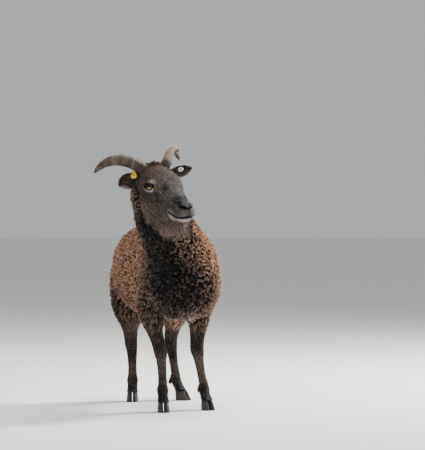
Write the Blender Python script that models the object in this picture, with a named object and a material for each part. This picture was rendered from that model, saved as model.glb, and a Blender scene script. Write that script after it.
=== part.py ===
"""A Soay sheep standing at rest with its head turned, as a still life-size model.

Metres, +Z up. The nose points towards -Y and the animal's own left side is at +X.
Every size of the body is written as it is from the ground up, with the feet at z = 0.
"""

import math

import bmesh
import bpy
import numpy as np
from mathutils import Euler, Matrix, Quaternion, Vector
from mathutils.bvhtree import BVHTree

# The whole animal
COAT_DEPTH = 0.030  # skin to the tips of the curls, on the trunk
CORE_DEPTH = 0.014  # skin to the felted part of the coat, under half way to the tips
GAP = 0.0003  # between pieces that touch
BOX_CENTRE = Vector((-0.0745, 0.0310))  # middle of the whole animal seen from above

# Trunk: along y, the centre's x, the half width of the skin, its top, its widest level and its bottom
TRUNK = (
    (-0.252, -0.014, 0.020, 0.445, 0.415, 0.390),
    (-0.236, -0.015, 0.050, 0.480, 0.410, 0.350),
    (-0.200, -0.016, 0.078, 0.520, 0.405, 0.315),
    (-0.150, -0.016, 0.096, 0.550, 0.400, 0.298),
    (-0.080, -0.014, 0.105, 0.570, 0.400, 0.296),
    (0.000, -0.011, 0.118, 0.568, 0.398, 0.294),
    (0.080, -0.010, 0.130, 0.562, 0.398, 0.294),
    (0.160, -0.010, 0.134, 0.562, 0.405, 0.304),
    (0.230, -0.010, 0.129, 0.566, 0.420, 0.330),
    (0.290, -0.010, 0.115, 0.560, 0.430, 0.362),
    (0.335, -0.010, 0.085, 0.535, 0.440, 0.392),
    (0.358, -0.010, 0.045, 0.505, 0.455, 0.420),
)
TRUNK_SIDES = 14
TRUNK_FULLNESS = (2.25, 2.1)  # above and below the widest level, where 2 is an oval
TRUNK_STEPS = 2

# Neck: centre x, y, z, half width and half depth, from inside the trunk to inside the skull
NECK = (
    (-0.014, -0.095, 0.430, 0.088, 0.120),
    (-0.032, -0.140, 0.500, 0.080, 0.110),
    (-0.0650, -0.154, 0.560, 0.0685, 0.092),
    (-0.0985, -0.156, 0.620, 0.0600, 0.076),
    (-0.115, -0.158, 0.675, 0.056, 0.064),
    (-0.119, -0.168, 0.730, 0.044, 0.048),
)
NECK_SIDES = 12
NECK_STEPS = 2
NECK_COAT = 0.80  # the neck's coat against the trunk's

# Head: its own frame has the poll at the origin, the nose towards -y and the crown up
HEAD_PLACE = Vector((-0.1194, -0.1763, 0.7733))
HEAD_TURN, HEAD_NOD, HEAD_TILT = (math.radians(a) for a in (18.25, 16.3, -4.5))
# y, half width, top, widest level, bottom
HEAD = (
    (0.050, 0.026, -0.050, -0.075, -0.100),
    (0.034, 0.043, -0.020, -0.062, -0.122),
    (0.006, 0.053, 0.000, -0.055, -0.140),
    (-0.026, 0.0570, 0.003, -0.050, -0.150),
    (-0.056, 0.0585, -0.001, -0.050, -0.150),
    (-0.086, 0.0545, -0.011, -0.052, -0.150),
    (-0.114, 0.0450, -0.025, -0.066, -0.146),
    (-0.144, 0.0365, -0.039, -0.082, -0.1425),
    (-0.172, 0.0325, -0.050, -0.090, -0.1400),
    (-0.196, 0.0305, -0.060, -0.092, -0.1345),
    (-0.214, 0.0265, -0.070, -0.094, -0.126),
    (-0.225, 0.0175, -0.080, -0.096, -0.116),
    (-0.2300, 0.0080, -0.088, -0.097, -0.107),
)
HEAD_SIDES = 16
HEAD_STEPS = 2

# Eyes
EYE_PLACE = Vector((0.0438, -0.0680, -0.0480))
EYE_RADIUS = 0.0160
EYE_LOOK = Vector((0.86, -0.50, 0.06)).normalized()
LID_THICK = 0.0024
LID_HALF_LENGTH, LID_HALF_HEIGHT = 0.0176, 0.0070
LID_ROLL, LID_ROLL_OUT = 0.0028, 0.0024  # the fold along the upper lid and how far out it lies
LID_SLANT = math.radians(-14)  # the inner corner sits lower than the outer one
EYE_CUTS = (12, 8)

# Muzzle: a point inside it, and the nostrils: their middle, the way the slit runs and opens, and the
# half sizes along, outwards and across of the slit and of the wing over it
MUZZLE_HEART = Vector((0.0, -0.175, -0.095))
NOSTRIL_PLACE = Vector((0.0122, -0.2150, -0.0765))
NOSTRIL_RUNS = Vector((-0.74, -0.66, -0.13)).normalized()
NOSTRIL_OPENS = Vector((0.50, -0.70, 0.50)).normalized()
NOSTRIL_HALF = Vector((0.0120, 0.0075, 0.0025))
WING_HALF, WING_SHIFT = Vector((0.0130, 0.0062, 0.0050)), Vector((0.0005, 0.0030, 0.0048))
MOUTH_LEVEL, MOUTH_DIP, MOUTH_RISE = -0.0985, 0.0075, -0.0080
MOUTH_TURN = math.radians(112)  # from the front round to each corner
MOUTH_CUT = 0.0024
CLEFT = (-0.080, -0.086, -0.092, -0.098)  # heights down the upper lip
LIP_THICK, LIP_APART, LIP_SUNK = 0.0050, 0.0062, 0.0023

# Horns from root to tip: x, y, z, half width and half depth. The left one is worn off short of its tip
HORNS = {
    -1: (
        (0.0330, 0.0000, -0.0150, 0.0177, 0.0205),
        (0.0513, 0.0052, -0.0028, 0.0180, 0.0208),
        (0.0697, 0.0147, 0.0061, 0.0180, 0.0209),
        (0.0879, 0.0273, 0.0105, 0.0178, 0.0205),
        (0.1054, 0.0416, 0.0099, 0.0171, 0.0196),
        (0.1219, 0.0558, 0.0040, 0.0157, 0.0178),
        (0.1359, 0.0676, -0.0059, 0.0134, 0.0152),
        (0.1460, 0.0751, -0.0162, 0.0107, 0.0122),
        (0.1534, 0.0795, -0.0255, 0.0079, 0.0091),
        (0.1583, 0.0819, -0.0327, 0.0053, 0.0061),
        (0.1612, 0.0829, -0.0372, 0.0032, 0.0038),
        (0.1631, 0.0835, -0.0402, 0.0010, 0.0010),
    ),
    1: (
        (0.0413, -0.0040, 0.0002, 0.0136, 0.0144),
        (0.0491, 0.0040, 0.0096, 0.0134, 0.0142),
        (0.0596, 0.0130, 0.0198, 0.0130, 0.0138),
        (0.0728, 0.0230, 0.0297, 0.0118, 0.0125),
        (0.0886, 0.0300, 0.0347, 0.0102, 0.0108),
        (0.0993, 0.0300, 0.0318, 0.0088, 0.0093),
        (0.0995, 0.0220, 0.0240, 0.0078, 0.0083),
        (0.0907, 0.0100, 0.0158, 0.0066, 0.0070),
    ),
}
HORN_AXIS = Vector((-0.963, 0.190, 0.190)).normalized()
HORN_STEPS = 3
HORN_STUB = {-1: 2, 1: 3}  # sections of the horn that stand in the hair of the crown
HORN_SIDES = 10
HORN_FULLNESS = (1.8, 2.2)
HORN_RIDGE_HEIGHT = 0.07  # share of the radius

# Ears
EAR_ROOT = Vector((0.048, 0.010, -0.047))
EAR_TIPS = {-1: Vector((0.127, -0.012, -0.036)), 1: Vector((0.127, -0.020, -0.014))}
EAR_FACES = Vector((0.16, -0.90, -0.36)).normalized()
EAR_HALF_UP, EAR_HALF_DOWN = 0.0200, 0.0360
EAR_THICK = 0.0030
EAR_STUB = 0.15  # share of the ear that stays on the head
EAR_POINTS, EAR_STEPS = 5, 8
EAR_CLEAR = 0.045  # no clumps grow nearer to an ear's root

# Ear tags: how far out along the ear, how far up round its cup, and the way the front disc faces
TAG_PLACES = {-1: (0.30, 0.55), 1: (0.625, -0.10)}
TAG_FACES = {-1: Vector((-0.30, -0.86, -0.10)).normalized(), 1: Vector((-0.25, -0.90, -0.30)).normalized()}
TAG_RADIUS, TAG_THICK, PIN_RADIUS = 0.0095, 0.0024, 0.0026
TAG_PIN = 0.0032  # from the middle of the ear's wall to either disc
TAG_SIDES = 10

# Legs: z, distance from the middle, y, half width, half depth. The feet come from the last row down
FRONT_LEG = (
    (0.420, 0.060, -0.098, 0.034, 0.070),
    (0.350, 0.068, -0.090, 0.034, 0.058),
    (0.300, 0.073, -0.084, 0.031, 0.045),
    (0.262, 0.073, -0.084, 0.0265, 0.035),
    (0.225, 0.067, -0.087, 0.0215, 0.0260),
    (0.200, 0.063, -0.091, 0.0208, 0.0228),
    (0.182, 0.0625, -0.094, 0.0198, 0.0212),
    (0.160, 0.064, -0.098, 0.0150, 0.0165),
    (0.118, 0.067, -0.104, 0.0122, 0.0145),
    (0.086, 0.071, -0.109, 0.0130, 0.0155),
)
HIND_LEG = (
    (0.440, 0.068, 0.268, 0.048, 0.082),
    (0.380, 0.074, 0.260, 0.049, 0.082),
    (0.325, 0.078, 0.258, 0.043, 0.068),
    (0.280, 0.079, 0.272, 0.034, 0.049),
    (0.240, 0.075, 0.294, 0.0245, 0.0345),
    (0.208, 0.071, 0.312, 0.0200, 0.0300),
    (0.184, 0.070, 0.314, 0.0188, 0.0250),
    (0.160, 0.070, 0.309, 0.0158, 0.0190),
    (0.122, 0.072, 0.302, 0.0128, 0.0155),
    (0.090, 0.074, 0.297, 0.0132, 0.0160),
)
# Foot: z, distance ahead of the row above it, half width, half depth
FOOT = (
    (0.070, 0.000, 0.0172, 0.0185),
    (0.054, 0.008, 0.0152, 0.0165),
    (0.040, 0.017, 0.0160, 0.0172),
    (0.0303, 0.024, 0.0178, 0.0205),
)
LEG_SIDES = 10
LEG_STEPS = 1
# The block of space that a leg fills: first and last y, the level of its top, and its slopes about a middle y
LEG_BLOCKS = {
    "front": (-0.40, 0.075, 0.300, -0.085, 0.60, -0.42),
    "hind": (0.135, 0.50, 0.330, 0.265, 0.62, 0.30),
}
LEG_BLOCK_X = (0.014, 0.30)  # from the middle of the animal
LEG_BLOCK_MIDDLE_X = 0.078
LEG_BLOCK_TOP = (0.12, 0.46)  # lowest and highest
LEG_BEND_TOP = 0.30  # a leg swings from here down
# Name, side, rows, how far the foot stands ahead, how far its toes turn out, the sideways lean of the leg
LEGS = (
    ("front_right", -1, FRONT_LEG, 0.024, math.radians(8), -0.10),
    ("front_left", 1, FRONT_LEG, -0.030, math.radians(14), -0.10),
    ("hind_right", -1, HIND_LEG, 0.000, math.radians(14), -0.05),
    ("hind_left", 1, HIND_LEG, -0.006, math.radians(42), -0.07),
)
DEWCLAW_RADIUS, DEWCLAW_HEIGHT, DEWCLAW_BEHIND, DEWCLAW_ASIDE = 0.0048, 0.062, 0.0165, 0.0085
LEG_COAT_END, LEG_COAT_FULL = 0.225, 0.285  # heights where the coat on a leg's core starts and is full

# Hooves: each foot has two claws
CLAW_LENGTH, CLAW_WIDTH, CLAW_HEIGHT = 0.046, 0.0175, 0.0300
CLAW_SPLIT = 0.0022
CLAW_AHEAD = 0.001  # of the foot's last row
CLAW_POINT = 0.42  # share of the width lost at the toe
# Height, share of the length, how far ahead and share of the width, from the sole up
CLAW_ROWS = (
    (0.0, 1.0, 0.0075, 1.0),
    (0.004, 1.0, 0.0070, 1.02),
    (0.016, 0.90, 0.0030, 0.98),
    (CLAW_HEIGHT - GAP, 0.76, -0.0010, 0.86),
)
CLAW_SIDES = 10

# Tail
TAIL = (
    (-0.010, 0.335, 0.505, 0.020, 0.016),
    (-0.010, 0.368, 0.492, 0.017, 0.014),
    (-0.012, 0.384, 0.458, 0.014, 0.012),
    (-0.012, 0.388, 0.420, 0.011, 0.010),
    (-0.011, 0.386, 0.388, 0.006, 0.005),
)
TAIL_CUT_Y = 0.372
TAIL_BLOCK = (0.16, 0.20, 0.40)

# Fleece: clumps of curls, set close enough to hide the coat's core
CLUMP_SPACING = 0.053
SLENDER_SPACING = 0.84  # of it, where the body bends more
NECK_LEVEL, LEG_LEVEL = 0.600, 0.300
CLUMP_SPREAD = 1.02  # half width against the spacing
CLUMP_SINK = 0.008
FACE_BLOCK = (Vector((0, -0.09, 0.09)), Vector((0.09, 0.21, 0.25)))  # middle and half sizes of the bare head
NAPE_START, NAPE_REACH = (-0.015, 0.020), 0.03  # level and y where the coat of the nape starts
FRONT_COAT_END, HIND_COAT_END, COAT_END_REACH, MID_Y = 0.255, 0.228, 0.05, 0.12
COAT_SAMPLES = 7000
COAT_SEED = 11

# Where the animal is divided
HEAD_CUT = (Vector((-0.112, -0.170, 0.684)), Vector((0.16, -0.63, 0.76)).normalized())
NECK_CUT = (Vector((-0.040, -0.160, 0.520)), Vector((-0.10, -0.62, 0.78)).normalized())

HIDE = (0.075, 0.055, 0.043, 1.0)
FLEECE = (0.060, 0.035, 0.024, 1.0)
HORN = (0.185, 0.150, 0.120, 1.0)
HOOF = (0.030, 0.027, 0.027, 1.0)
IRIS = (0.220, 0.150, 0.045, 1.0)
YELLOW = (0.80, 0.55, 0.03, 1.0)
WHITE = (0.72, 0.72, 0.72, 1.0)


def clear_scene():
    for thing in list(bpy.data.objects):
        bpy.data.objects.remove(thing)


def material(name, colour, roughness):
    made = bpy.data.materials.new(name)
    made.use_nodes = True
    shader = made.node_tree.nodes["Principled BSDF"]
    shader.inputs["Base Color"].default_value = colour
    shader.inputs["Roughness"].default_value = roughness
    return made


def stand(collection, name, bm, finish=None):
    """Puts a bmesh in the scene as one object, in triangles and with its faces turned out."""
    bmesh.ops.recalc_face_normals(bm, faces=bm.faces)
    bmesh.ops.triangulate(bm, faces=bm.faces)
    mesh = bpy.data.meshes.new(name)
    bm.to_mesh(mesh)
    bm.free()
    made = bpy.data.objects.new(name, mesh)
    collection.objects.link(made)
    if finish:
        mesh.materials.append(finish)
    return made


def smooth_rows(rows, steps):
    """More rows between the given ones, each number on its own Catmull-Rom curve."""
    made = []
    for i in range(len(rows) - 1):
        around = [rows[max(i - 1, 0)], rows[i], rows[i + 1], rows[min(i + 2, len(rows) - 1)]]
        for step in range(steps):
            t = step / steps
            shares = (2 * t**2 - t - t**3, 2 - 5 * t**2 + 3 * t**3, t + 4 * t**2 - 3 * t**3, t**3 - t**2)
            made.append(tuple(sum(w * v for w, v in zip(shares, values)) / 2 for values in zip(*around)))
    return [*made, tuple(rows[-1])]


def egg(centre, across, up, half, rise, drop, sides, fullness=(2.0, 2.0)):
    """One section: an oval of half width half that reaches rise above its widest level and drop below it."""
    points = []
    for i in range(sides):
        angle = 2 * math.pi * i / sides
        c, s = math.cos(angle), math.sin(angle)
        power = 2 / (fullness[0] if s > 0 else fullness[1])
        height = (rise if s > 0 else drop) * abs(s) ** power * (1 if s > 0 else -1)
        points.append(centre + across * half * abs(c) ** power * (1 if c > 0 else -1) + up * height)
    return points


def loft(sections):
    """A closed skin over a row of sections that all have the same number of points."""
    bm = bmesh.new()
    rings = [[bm.verts.new(p) for p in section] for section in sections]
    for ring, after in zip(rings, rings[1:]):
        for i in range(len(ring)):
            j = (i + 1) % len(ring)
            bm.faces.new((ring[i], ring[j], after[j], after[i]))
    bm.faces.new(rings[0])
    bm.faces.new(rings[-1])
    return bm


def sections_along(rows, sides, steps, turn):
    """Sections across a bent tube: rows hold x, y, z, half width and half depth."""
    rows = smooth_rows(rows, steps)
    centres = [Vector(r[:3]) for r in rows]
    made = []
    for i, row in enumerate(rows):
        along = (centres[min(i + 1, len(rows) - 1)] - centres[max(i - 1, 0)]).normalized()
        across = Matrix.Rotation(turn * i / (len(rows) - 1), 3, "Z") @ Vector((1, 0, 0))
        across = (across - along * across.dot(along)).normalized()
        made.append(egg(centres[i], across, along.cross(across), row[3], row[4], row[4], sides))
    return made


def trunk_mesh():
    x, z = Vector((1, 0, 0)), Vector((0, 0, 1))
    made = []
    for y, cx, half, top, wide, low in smooth_rows(TRUNK, TRUNK_STEPS):
        centre = Vector((cx, y, wide))
        half += CORE_DEPTH
        rise, drop = top - wide + CORE_DEPTH, wide - low + CORE_DEPTH
        made.append(egg(centre, x, z, half, rise, drop, TRUNK_SIDES, TRUNK_FULLNESS))
    ends = (made[0], made[-1])
    for end, step in zip(ends, (-CORE_DEPTH, CORE_DEPTH)):
        for point in end:
            point.y += step
    return loft(made)


def neck_mesh():
    core = CORE_DEPTH * NECK_COAT
    rows = [(*r[:3], r[3] + core, r[4] + core) for r in NECK[:-1]] + [NECK[-1]]
    return loft(sections_along(rows, NECK_SIDES, NECK_STEPS, HEAD_TURN))


def tail_mesh():
    rows = [(*r[:3], r[3] + CORE_DEPTH / 3, r[4] + CORE_DEPTH / 3) for r in TAIL]
    return loft(sections_along(rows, 8, 2, 0.0))


def leg_frame(leg):
    """How a leg's rows lie: its swung rows, and the spot and heading of its foot."""
    _, side, rows, ahead, turn_out, lean = leg
    swung = []
    for z, x, y, half, deep in smooth_rows(rows, LEG_STEPS):
        share = max(0.0, 1 - z / LEG_BEND_TOP)
        swung.append((Vector((side * x + lean * min(z, LEG_BEND_TOP), y - ahead * share, z)), half, deep))
    heading = Vector((side * math.sin(turn_out), -math.cos(turn_out), 0))
    return swung, swung[-1][0], heading


def leg_mesh(leg):
    x, back = Vector((1, 0, 0)), Vector((0, 1, 0))
    swung, ankle, heading = leg_frame(leg)
    reach = LEG_COAT_FULL - LEG_COAT_END
    core = [CORE_DEPTH * max(0.0, min(1.0, (place.z - LEG_COAT_END) / reach)) for place, _, _ in swung]
    made = [
        egg(place, x, back, half + more, deep + more, deep + more, LEG_SIDES)
        for (place, half, deep), more in zip(swung, core)
    ]
    across = Vector((-heading.y, heading.x, 0))
    for z, ahead, half, deep in FOOT:
        centre = Vector((ankle.x, ankle.y, z)) + heading * ahead
        made.append(egg(centre, across, -heading, half, deep, deep, LEG_SIDES))
    return loft(made)


def dewclaw_meshes(leg):
    """The two small claws behind each ankle."""
    _, ankle, heading = leg_frame(leg)
    across = Vector((-heading.y, heading.x, 0))
    for side in (-1, 1):
        spot = Vector((ankle.x, ankle.y, DEWCLAW_HEIGHT)) + across * side * DEWCLAW_ASIDE
        spot -= heading * DEWCLAW_BEHIND
        yield knob(spot, (DEWCLAW_RADIUS, DEWCLAW_RADIUS, DEWCLAW_RADIUS * 1.6), Matrix.Identity(3))


def claw_mesh(leg, side):
    """One half of a hoof: flat sole, flared wall and a pointed toe."""
    _, ankle, heading = leg_frame(leg)
    middle = Vector((ankle.x, ankle.y, 0)) + heading * (FOOT[-1][1] + CLAW_AHEAD)
    across = Vector((-heading.y, heading.x, 0)) * side
    sections = []
    for z, long, ahead, wide in CLAW_ROWS:
        ring = []
        for i in range(CLAW_SIDES):
            angle = 2 * math.pi * i / CLAW_SIDES
            c, s = math.cos(angle), math.sin(angle)
            point = middle + Vector((0, 0, z)) + heading * (ahead + long * CLAW_LENGTH / 2 * c)
            blunt = 1.0 if c < 0 else 1 - CLAW_POINT * c * c
            out = CLAW_SPLIT / 2 + CLAW_WIDTH * wide * (0.5 + 0.5 * s * blunt)
            ring.append(point + across * max(out, CLAW_SPLIT / 2))
        sections.append(ring)
    return loft(sections)


def head_matrix():
    turn = Euler((HEAD_NOD, HEAD_TILT, HEAD_TURN), "YXZ").to_matrix().to_4x4()
    return Matrix.Translation(HEAD_PLACE) @ turn


def mirrored(vector, side):
    return Vector((vector.x * side, vector.y, vector.z))


def head_mesh():
    x, z = Vector((1, 0, 0)), Vector((0, 0, 1))
    made = [
        egg(Vector((0, y, wide)), x, z, half, top - wide, wide - low, HEAD_SIDES, (2.0, 1.8))
        for y, half, top, wide, low in smooth_rows(HEAD, HEAD_STEPS)
    ]
    return loft(made)


def ball(place, radii, turn=None, segments=12, rings=8):
    bm = bmesh.new()
    bmesh.ops.create_uvsphere(bm, u_segments=segments, v_segments=rings, radius=1)
    bmesh.ops.scale(bm, vec=radii, verts=bm.verts)
    if turn:
        bmesh.ops.rotate(bm, cent=(0, 0, 0), matrix=turn, verts=bm.verts)
    bmesh.ops.translate(bm, vec=place, verts=bm.verts)
    return bm


def knob(place, radii, turn):
    """A small round lump of twenty faces."""
    bm = bmesh.new()
    bmesh.ops.create_icosphere(bm, subdivisions=1, radius=1)
    bmesh.ops.scale(bm, vec=radii, verts=bm.verts)
    bmesh.ops.rotate(bm, cent=(0, 0, 0), matrix=turn, verts=bm.verts)
    bmesh.ops.translate(bm, vec=place, verts=bm.verts)
    return bm


def tube(points, radius, sides=5):
    """A round rod along a row of points, thinner towards its ends."""
    sections = []
    for i, point in enumerate(points):
        along = (points[min(i + 1, len(points) - 1)] - points[max(i - 1, 0)]).normalized()
        across = along.orthogonal().normalized()
        if sections:
            across = (last - along * last.dot(along)).normalized()
        last = across
        thick = radius * (0.35 if i in (0, len(points) - 1) else 1.0)
        sections.append(egg(point, across, along.cross(across), thick, thick, thick, sides))
    return loft(sections)


def eye_turn(side):
    """Turns z to the way an eye looks, x along its lids and y up."""
    look = mirrored(EYE_LOOK, side)
    along = Vector((0, 0, 1)).cross(look).normalized()
    along.rotate(Quaternion(look, LID_SLANT * side))
    return Matrix((along, look.cross(along), look)).transposed()


def lid_outline(side, grow, count=16):
    """The almond edge of the lids, on the eye's own ball."""
    turn = eye_turn(side)
    reach = EYE_RADIUS + LID_THICK * 0.6
    made = []
    for i in range(count):
        angle = 2 * math.pi * i / count
        x = (LID_HALF_LENGTH + grow) * math.cos(angle)
        y = (LID_HALF_HEIGHT + grow) * math.sin(angle) * abs(math.sin(angle)) ** 0.35
        flat = Vector((x, y, 0))
        flat.z = math.sqrt(max(reach**2 - flat.length_squared, (0.35 * reach) ** 2))
        made.append(mirrored(EYE_PLACE, side) + turn @ flat)
    return made


def lid_opening(side):
    """What is cut from the lids so that the eye shows."""
    turn = eye_turn(side)
    centre = mirrored(EYE_PLACE, side)
    sections = []
    for depth in (0.004, 0.030):
        ring = []
        for point in lid_outline(side, 0.0):
            flat = turn.transposed() @ (point - centre)
            ring.append(centre + turn @ Vector((flat.x, flat.y, depth)))
        sections.append(ring)
    return loft(sections)


def mouth_points(skin, lift, sunk):
    """The line of the mouth on the skin of the head, from one corner round the front to the other."""
    count = 13
    made = []
    for i in range(count):
        angle = MOUTH_TURN * (2 * i / (count - 1) - 1)
        share = abs(angle) / MOUTH_TURN
        aim = Vector((math.sin(angle) * 0.62, -math.cos(angle), 0)).normalized()
        level = MOUTH_LEVEL - MOUTH_DIP * math.sin(math.pi * share) + MOUTH_RISE * share**3
        start = Vector((0, MUZZLE_HEART.y, level + lift * (1 - share**3)))
        made.append(skin.ray_cast(start, aim)[0] - aim * (sunk + 0.004 * share**4))
    return made


def nostril_ball(side, half, shift=Vector()):
    """A flat ball along a nostril's slit."""
    runs, opens = mirrored(NOSTRIL_RUNS, side), mirrored(NOSTRIL_OPENS, side)
    opens = (opens - runs * opens.dot(runs)).normalized()
    turn = Matrix((runs, opens, runs.cross(opens))).transposed()
    return ball(mirrored(NOSTRIL_PLACE + shift, side), half, turn, 8, 6)


def horn_sections(side):
    """Sections of one horn from its root to its tip, every other one a ridge."""
    rows = smooth_rows(HORNS[side], HORN_STEPS)
    centres = [Vector(row[:3]) for row in rows]
    made = []
    for i, (_, _, _, wide, deep) in enumerate(rows):
        along = (centres[min(i + 1, len(rows) - 1)] - centres[max(i - 1, 0)]).normalized()
        across = (HORN_AXIS - along * HORN_AXIS.dot(along)).normalized()
        size = 1 + (HORN_RIDGE_HEIGHT if i % 2 and i < len(rows) - 5 else 0.0)
        wide, deep = wide * size, deep * size
        ring = egg(centres[i], across, along.cross(across), deep, wide, wide, HORN_SIDES, HORN_FULLNESS)
        made.append([mirrored(p, side) for p in ring])
    return made


def horn_mesh(side):
    sections = horn_sections(side)[HORN_STUB[side] :]
    along = (sum(sections[1], Vector()) - sum(sections[0], Vector())).normalized()
    sections[0] = [p + along * GAP for p in sections[0]]
    return loft(sections)


def horn_stub_mesh(side):
    sections = horn_sections(side)[: HORN_STUB[side] + 1]
    first, after = (sum(section, Vector()) / HORN_SIDES for section in sections[:2])
    inward = (first - after).normalized() * 0.012
    return loft([[first + (p - first) * 0.8 + inward for p in sections[0]], *sections])


def ear_axes(side):
    """Where an ear starts, the whole way to its tip, the way its cup faces, and up across it."""
    root, tip = EAR_ROOT, EAR_TIPS[side]
    reach = (tip - root).normalized()
    faces = (EAR_FACES - reach * EAR_FACES.dot(reach)).normalized()
    return root, tip - root, faces, faces.cross(reach)


def ear_point(side, share, turn, depth):
    """A place in an ear's wall: the share of the way out, -1 to 1 up round the cup, and how far behind."""
    root, whole, faces, up = ear_axes(side)
    breadth = 0.62 + 0.38 * math.sin(math.pi * min(share / 0.9, 1.0)) ** 0.8
    breadth *= 1.0 if share < 0.66 else max(0.20, math.cos((share - 0.66) / 0.34 * math.pi / 2) ** 0.55)
    roll = math.radians(118 - 62 * min(1.0, share * 1.8))
    radius = EAR_HALF_UP * breadth / math.sin(min(roll, math.pi / 2))
    centre = root + whole * share + faces * (radius * 0.7 - 0.008 * math.sin(math.pi * share))
    height = (radius + depth) * math.sin(roll * turn) * (1.0 if turn > 0 else EAR_HALF_DOWN / EAR_HALF_UP)
    return mirrored(centre - faces * (radius + depth) * math.cos(roll * turn) + up * height, side)


def ear_sections(side, first, last):
    """Crescent sections of the cupped ear, rolled at its root, open and broad beyond it."""
    made = []
    for step in range(EAR_STEPS + 1):
        share = first + (last - first) * step / EAR_STEPS
        half = EAR_THICK * (1.25 - 0.5 * share) / 2
        turns = [2 * i / (EAR_POINTS - 1) - 1 for i in range(EAR_POINTS)]
        outer = [ear_point(side, share, turn, half) for turn in turns]
        inner = [ear_point(side, share, -turn, -half) for turn in turns]
        made.append(outer + inner)
    return made


def ear_mesh(side):
    return loft(ear_sections(side, EAR_STUB + GAP / EAR_TIPS[side].length, 1.0))


def ear_stub_mesh(side):
    """The thick root of the ear on the head, closed behind the cup."""
    ring = ear_sections(side, EAR_STUB, 1.0)[0]
    middle = sum(ring, Vector()) / len(ring)
    _, whole, faces, up = (mirrored(v, side) for v in ear_axes(side))
    reach = whole.normalized()
    sections = []
    for depth, half in ((-0.024, 0.0130), (-0.012, 0.0165), (0.0, 0.0185)):
        sections.append(egg(middle + reach * depth, faces, up, half * 0.8, half, half, 10))
    return loft(sections)


def tag_mesh(side, grow=0.0):
    """A button tag: a disc on each face of the ear and the pin through it."""
    share, turn = TAG_PLACES[side]
    middle = ear_point(side, share, turn, 0.0)
    axis = TAG_FACES[side]
    edge = TAG_RADIUS + grow
    profile = (
        (-TAG_PIN - TAG_THICK - grow, TAG_RADIUS * 0.8 + grow),
        (-TAG_PIN - TAG_THICK * 0.5, edge),
        (-TAG_PIN + grow, edge),
        (-TAG_PIN + grow, PIN_RADIUS + grow),
        (TAG_PIN - grow, PIN_RADIUS + grow),
        (TAG_PIN - grow, edge),
        (TAG_PIN + TAG_THICK * 0.5, edge),
        (TAG_PIN + TAG_THICK + grow, TAG_RADIUS * 0.8 + grow),
    )
    x, y, _ = axis.to_track_quat("Z", "Y").to_matrix().col
    return loft([egg(middle + axis * z, x, y, r, r, r, TAG_SIDES) for z, r in profile])


def coat_share(place):
    """How much of the trunk's coat depth grows at a place: none on the face and the lower legs."""
    head = head_matrix().inverted() @ place
    if any((head - mirrored(EAR_ROOT, side)).length < EAR_CLEAR for side in (-1, 1)):
        return 0.0
    if all(abs(p) < half for p, half in zip(head - FACE_BLOCK[0], FACE_BLOCK[1])):
        nape = max(0.0, min(1.0, (head.y - NAPE_START[1]) / NAPE_REACH))
        return NECK_COAT * nape * (1.0 if head.z < NAPE_START[0] else 0.0)
    low = FRONT_COAT_END if place.y < MID_Y else HIND_COAT_END
    share = max(0.0, min(1.0, (place.z - low) / COAT_END_REACH))
    return share * (NECK_COAT if place.z > NECK_LEVEL and place.y < 0 else 1.0)


def clump_size(place):
    """Clumps are smaller on the neck, the tail and the legs, which bend more."""
    slender = place.z > NECK_LEVEL or place.z < LEG_LEVEL or place.y > TAIL_CUT_Y
    return CLUMP_SPACING * (SLENDER_SPACING if slender else 1.0)


def spread_roots(surface, rng):
    """Places spread evenly over a surface, each as far from the others as the clumps there are wide."""
    corners = np.array([[v.co for v in face.verts] for face in surface.faces])
    areas = np.array([face.calc_area() for face in surface.faces])
    picks = rng.choice(len(areas), COAT_SAMPLES, p=areas / areas.sum())
    u, v = rng.random((2, COAT_SAMPLES, 1))
    flip = u + v > 1
    u, v = np.where(flip, 1 - u, u), np.where(flip, 1 - v, v)
    a, b, c = corners[picks].transpose(1, 0, 2)
    places = a + (b - a) * u + (c - a) * v
    places = places[[coat_share(Vector(p)) > 0.3 for p in places]]
    sizes = np.array([clump_size(Vector(p)) for p in places])
    room = np.full(len(places), np.inf)
    pick = 0
    while room[pick] > sizes[pick]:
        yield Vector(places[pick])
        room = np.minimum(room, np.linalg.norm(places - places[pick], axis=1))
        pick = int(np.argmax(room / sizes))


def clump_meshes(flesh):
    """Rounded clumps of curls with their roots sunk in the coat's core."""
    surface = bmesh.new()
    surface.from_mesh(flesh.data)
    bmesh.ops.triangulate(surface, faces=surface.faces)
    surface.normal_update()
    tree = BVHTree.FromBMesh(surface)
    rng = np.random.default_rng(COAT_SEED)
    for place in spread_roots(surface, rng):
        share = coat_share(place)
        size = clump_size(place)
        normals = [n for _, n, _, _ in tree.find_nearest_range(place, size * 0.5)]
        out = sum(normals, Vector()).normalized()
        wide = size * CLUMP_SPREAD * rng.uniform(0.94, 1.08)
        tall = (COAT_DEPTH - CORE_DEPTH) * share * rng.uniform(0.90, 1.06)
        turn = out.to_track_quat("Z", "Y").to_matrix() @ Matrix.Rotation(rng.uniform(0, math.tau), 3, "Z")
        radii = (wide, wide * rng.uniform(0.90, 1.0), tall + CLUMP_SINK)
        yield knob(place - out * CLUMP_SINK, radii, turn)
    surface.free()


def boolean(target, collection, operation):
    """Joins or cuts a collection of closed meshes to or from an object, then drops them."""
    modifier = target.modifiers.new(operation, "BOOLEAN")
    modifier.operation = operation
    modifier.solver = "MANIFOLD"
    modifier.operand_type = "COLLECTION"
    modifier.collection = collection
    graph = bpy.context.evaluated_depsgraph_get()
    mesh = bpy.data.meshes.new_from_object(target.evaluated_get(graph))
    target.modifiers.clear()
    target.data = mesh
    for piece in list(collection.objects):
        bpy.data.objects.remove(piece)
    bpy.context.scene.collection.children.unlink(collection)
    bpy.data.collections.remove(collection)
    return target


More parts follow.
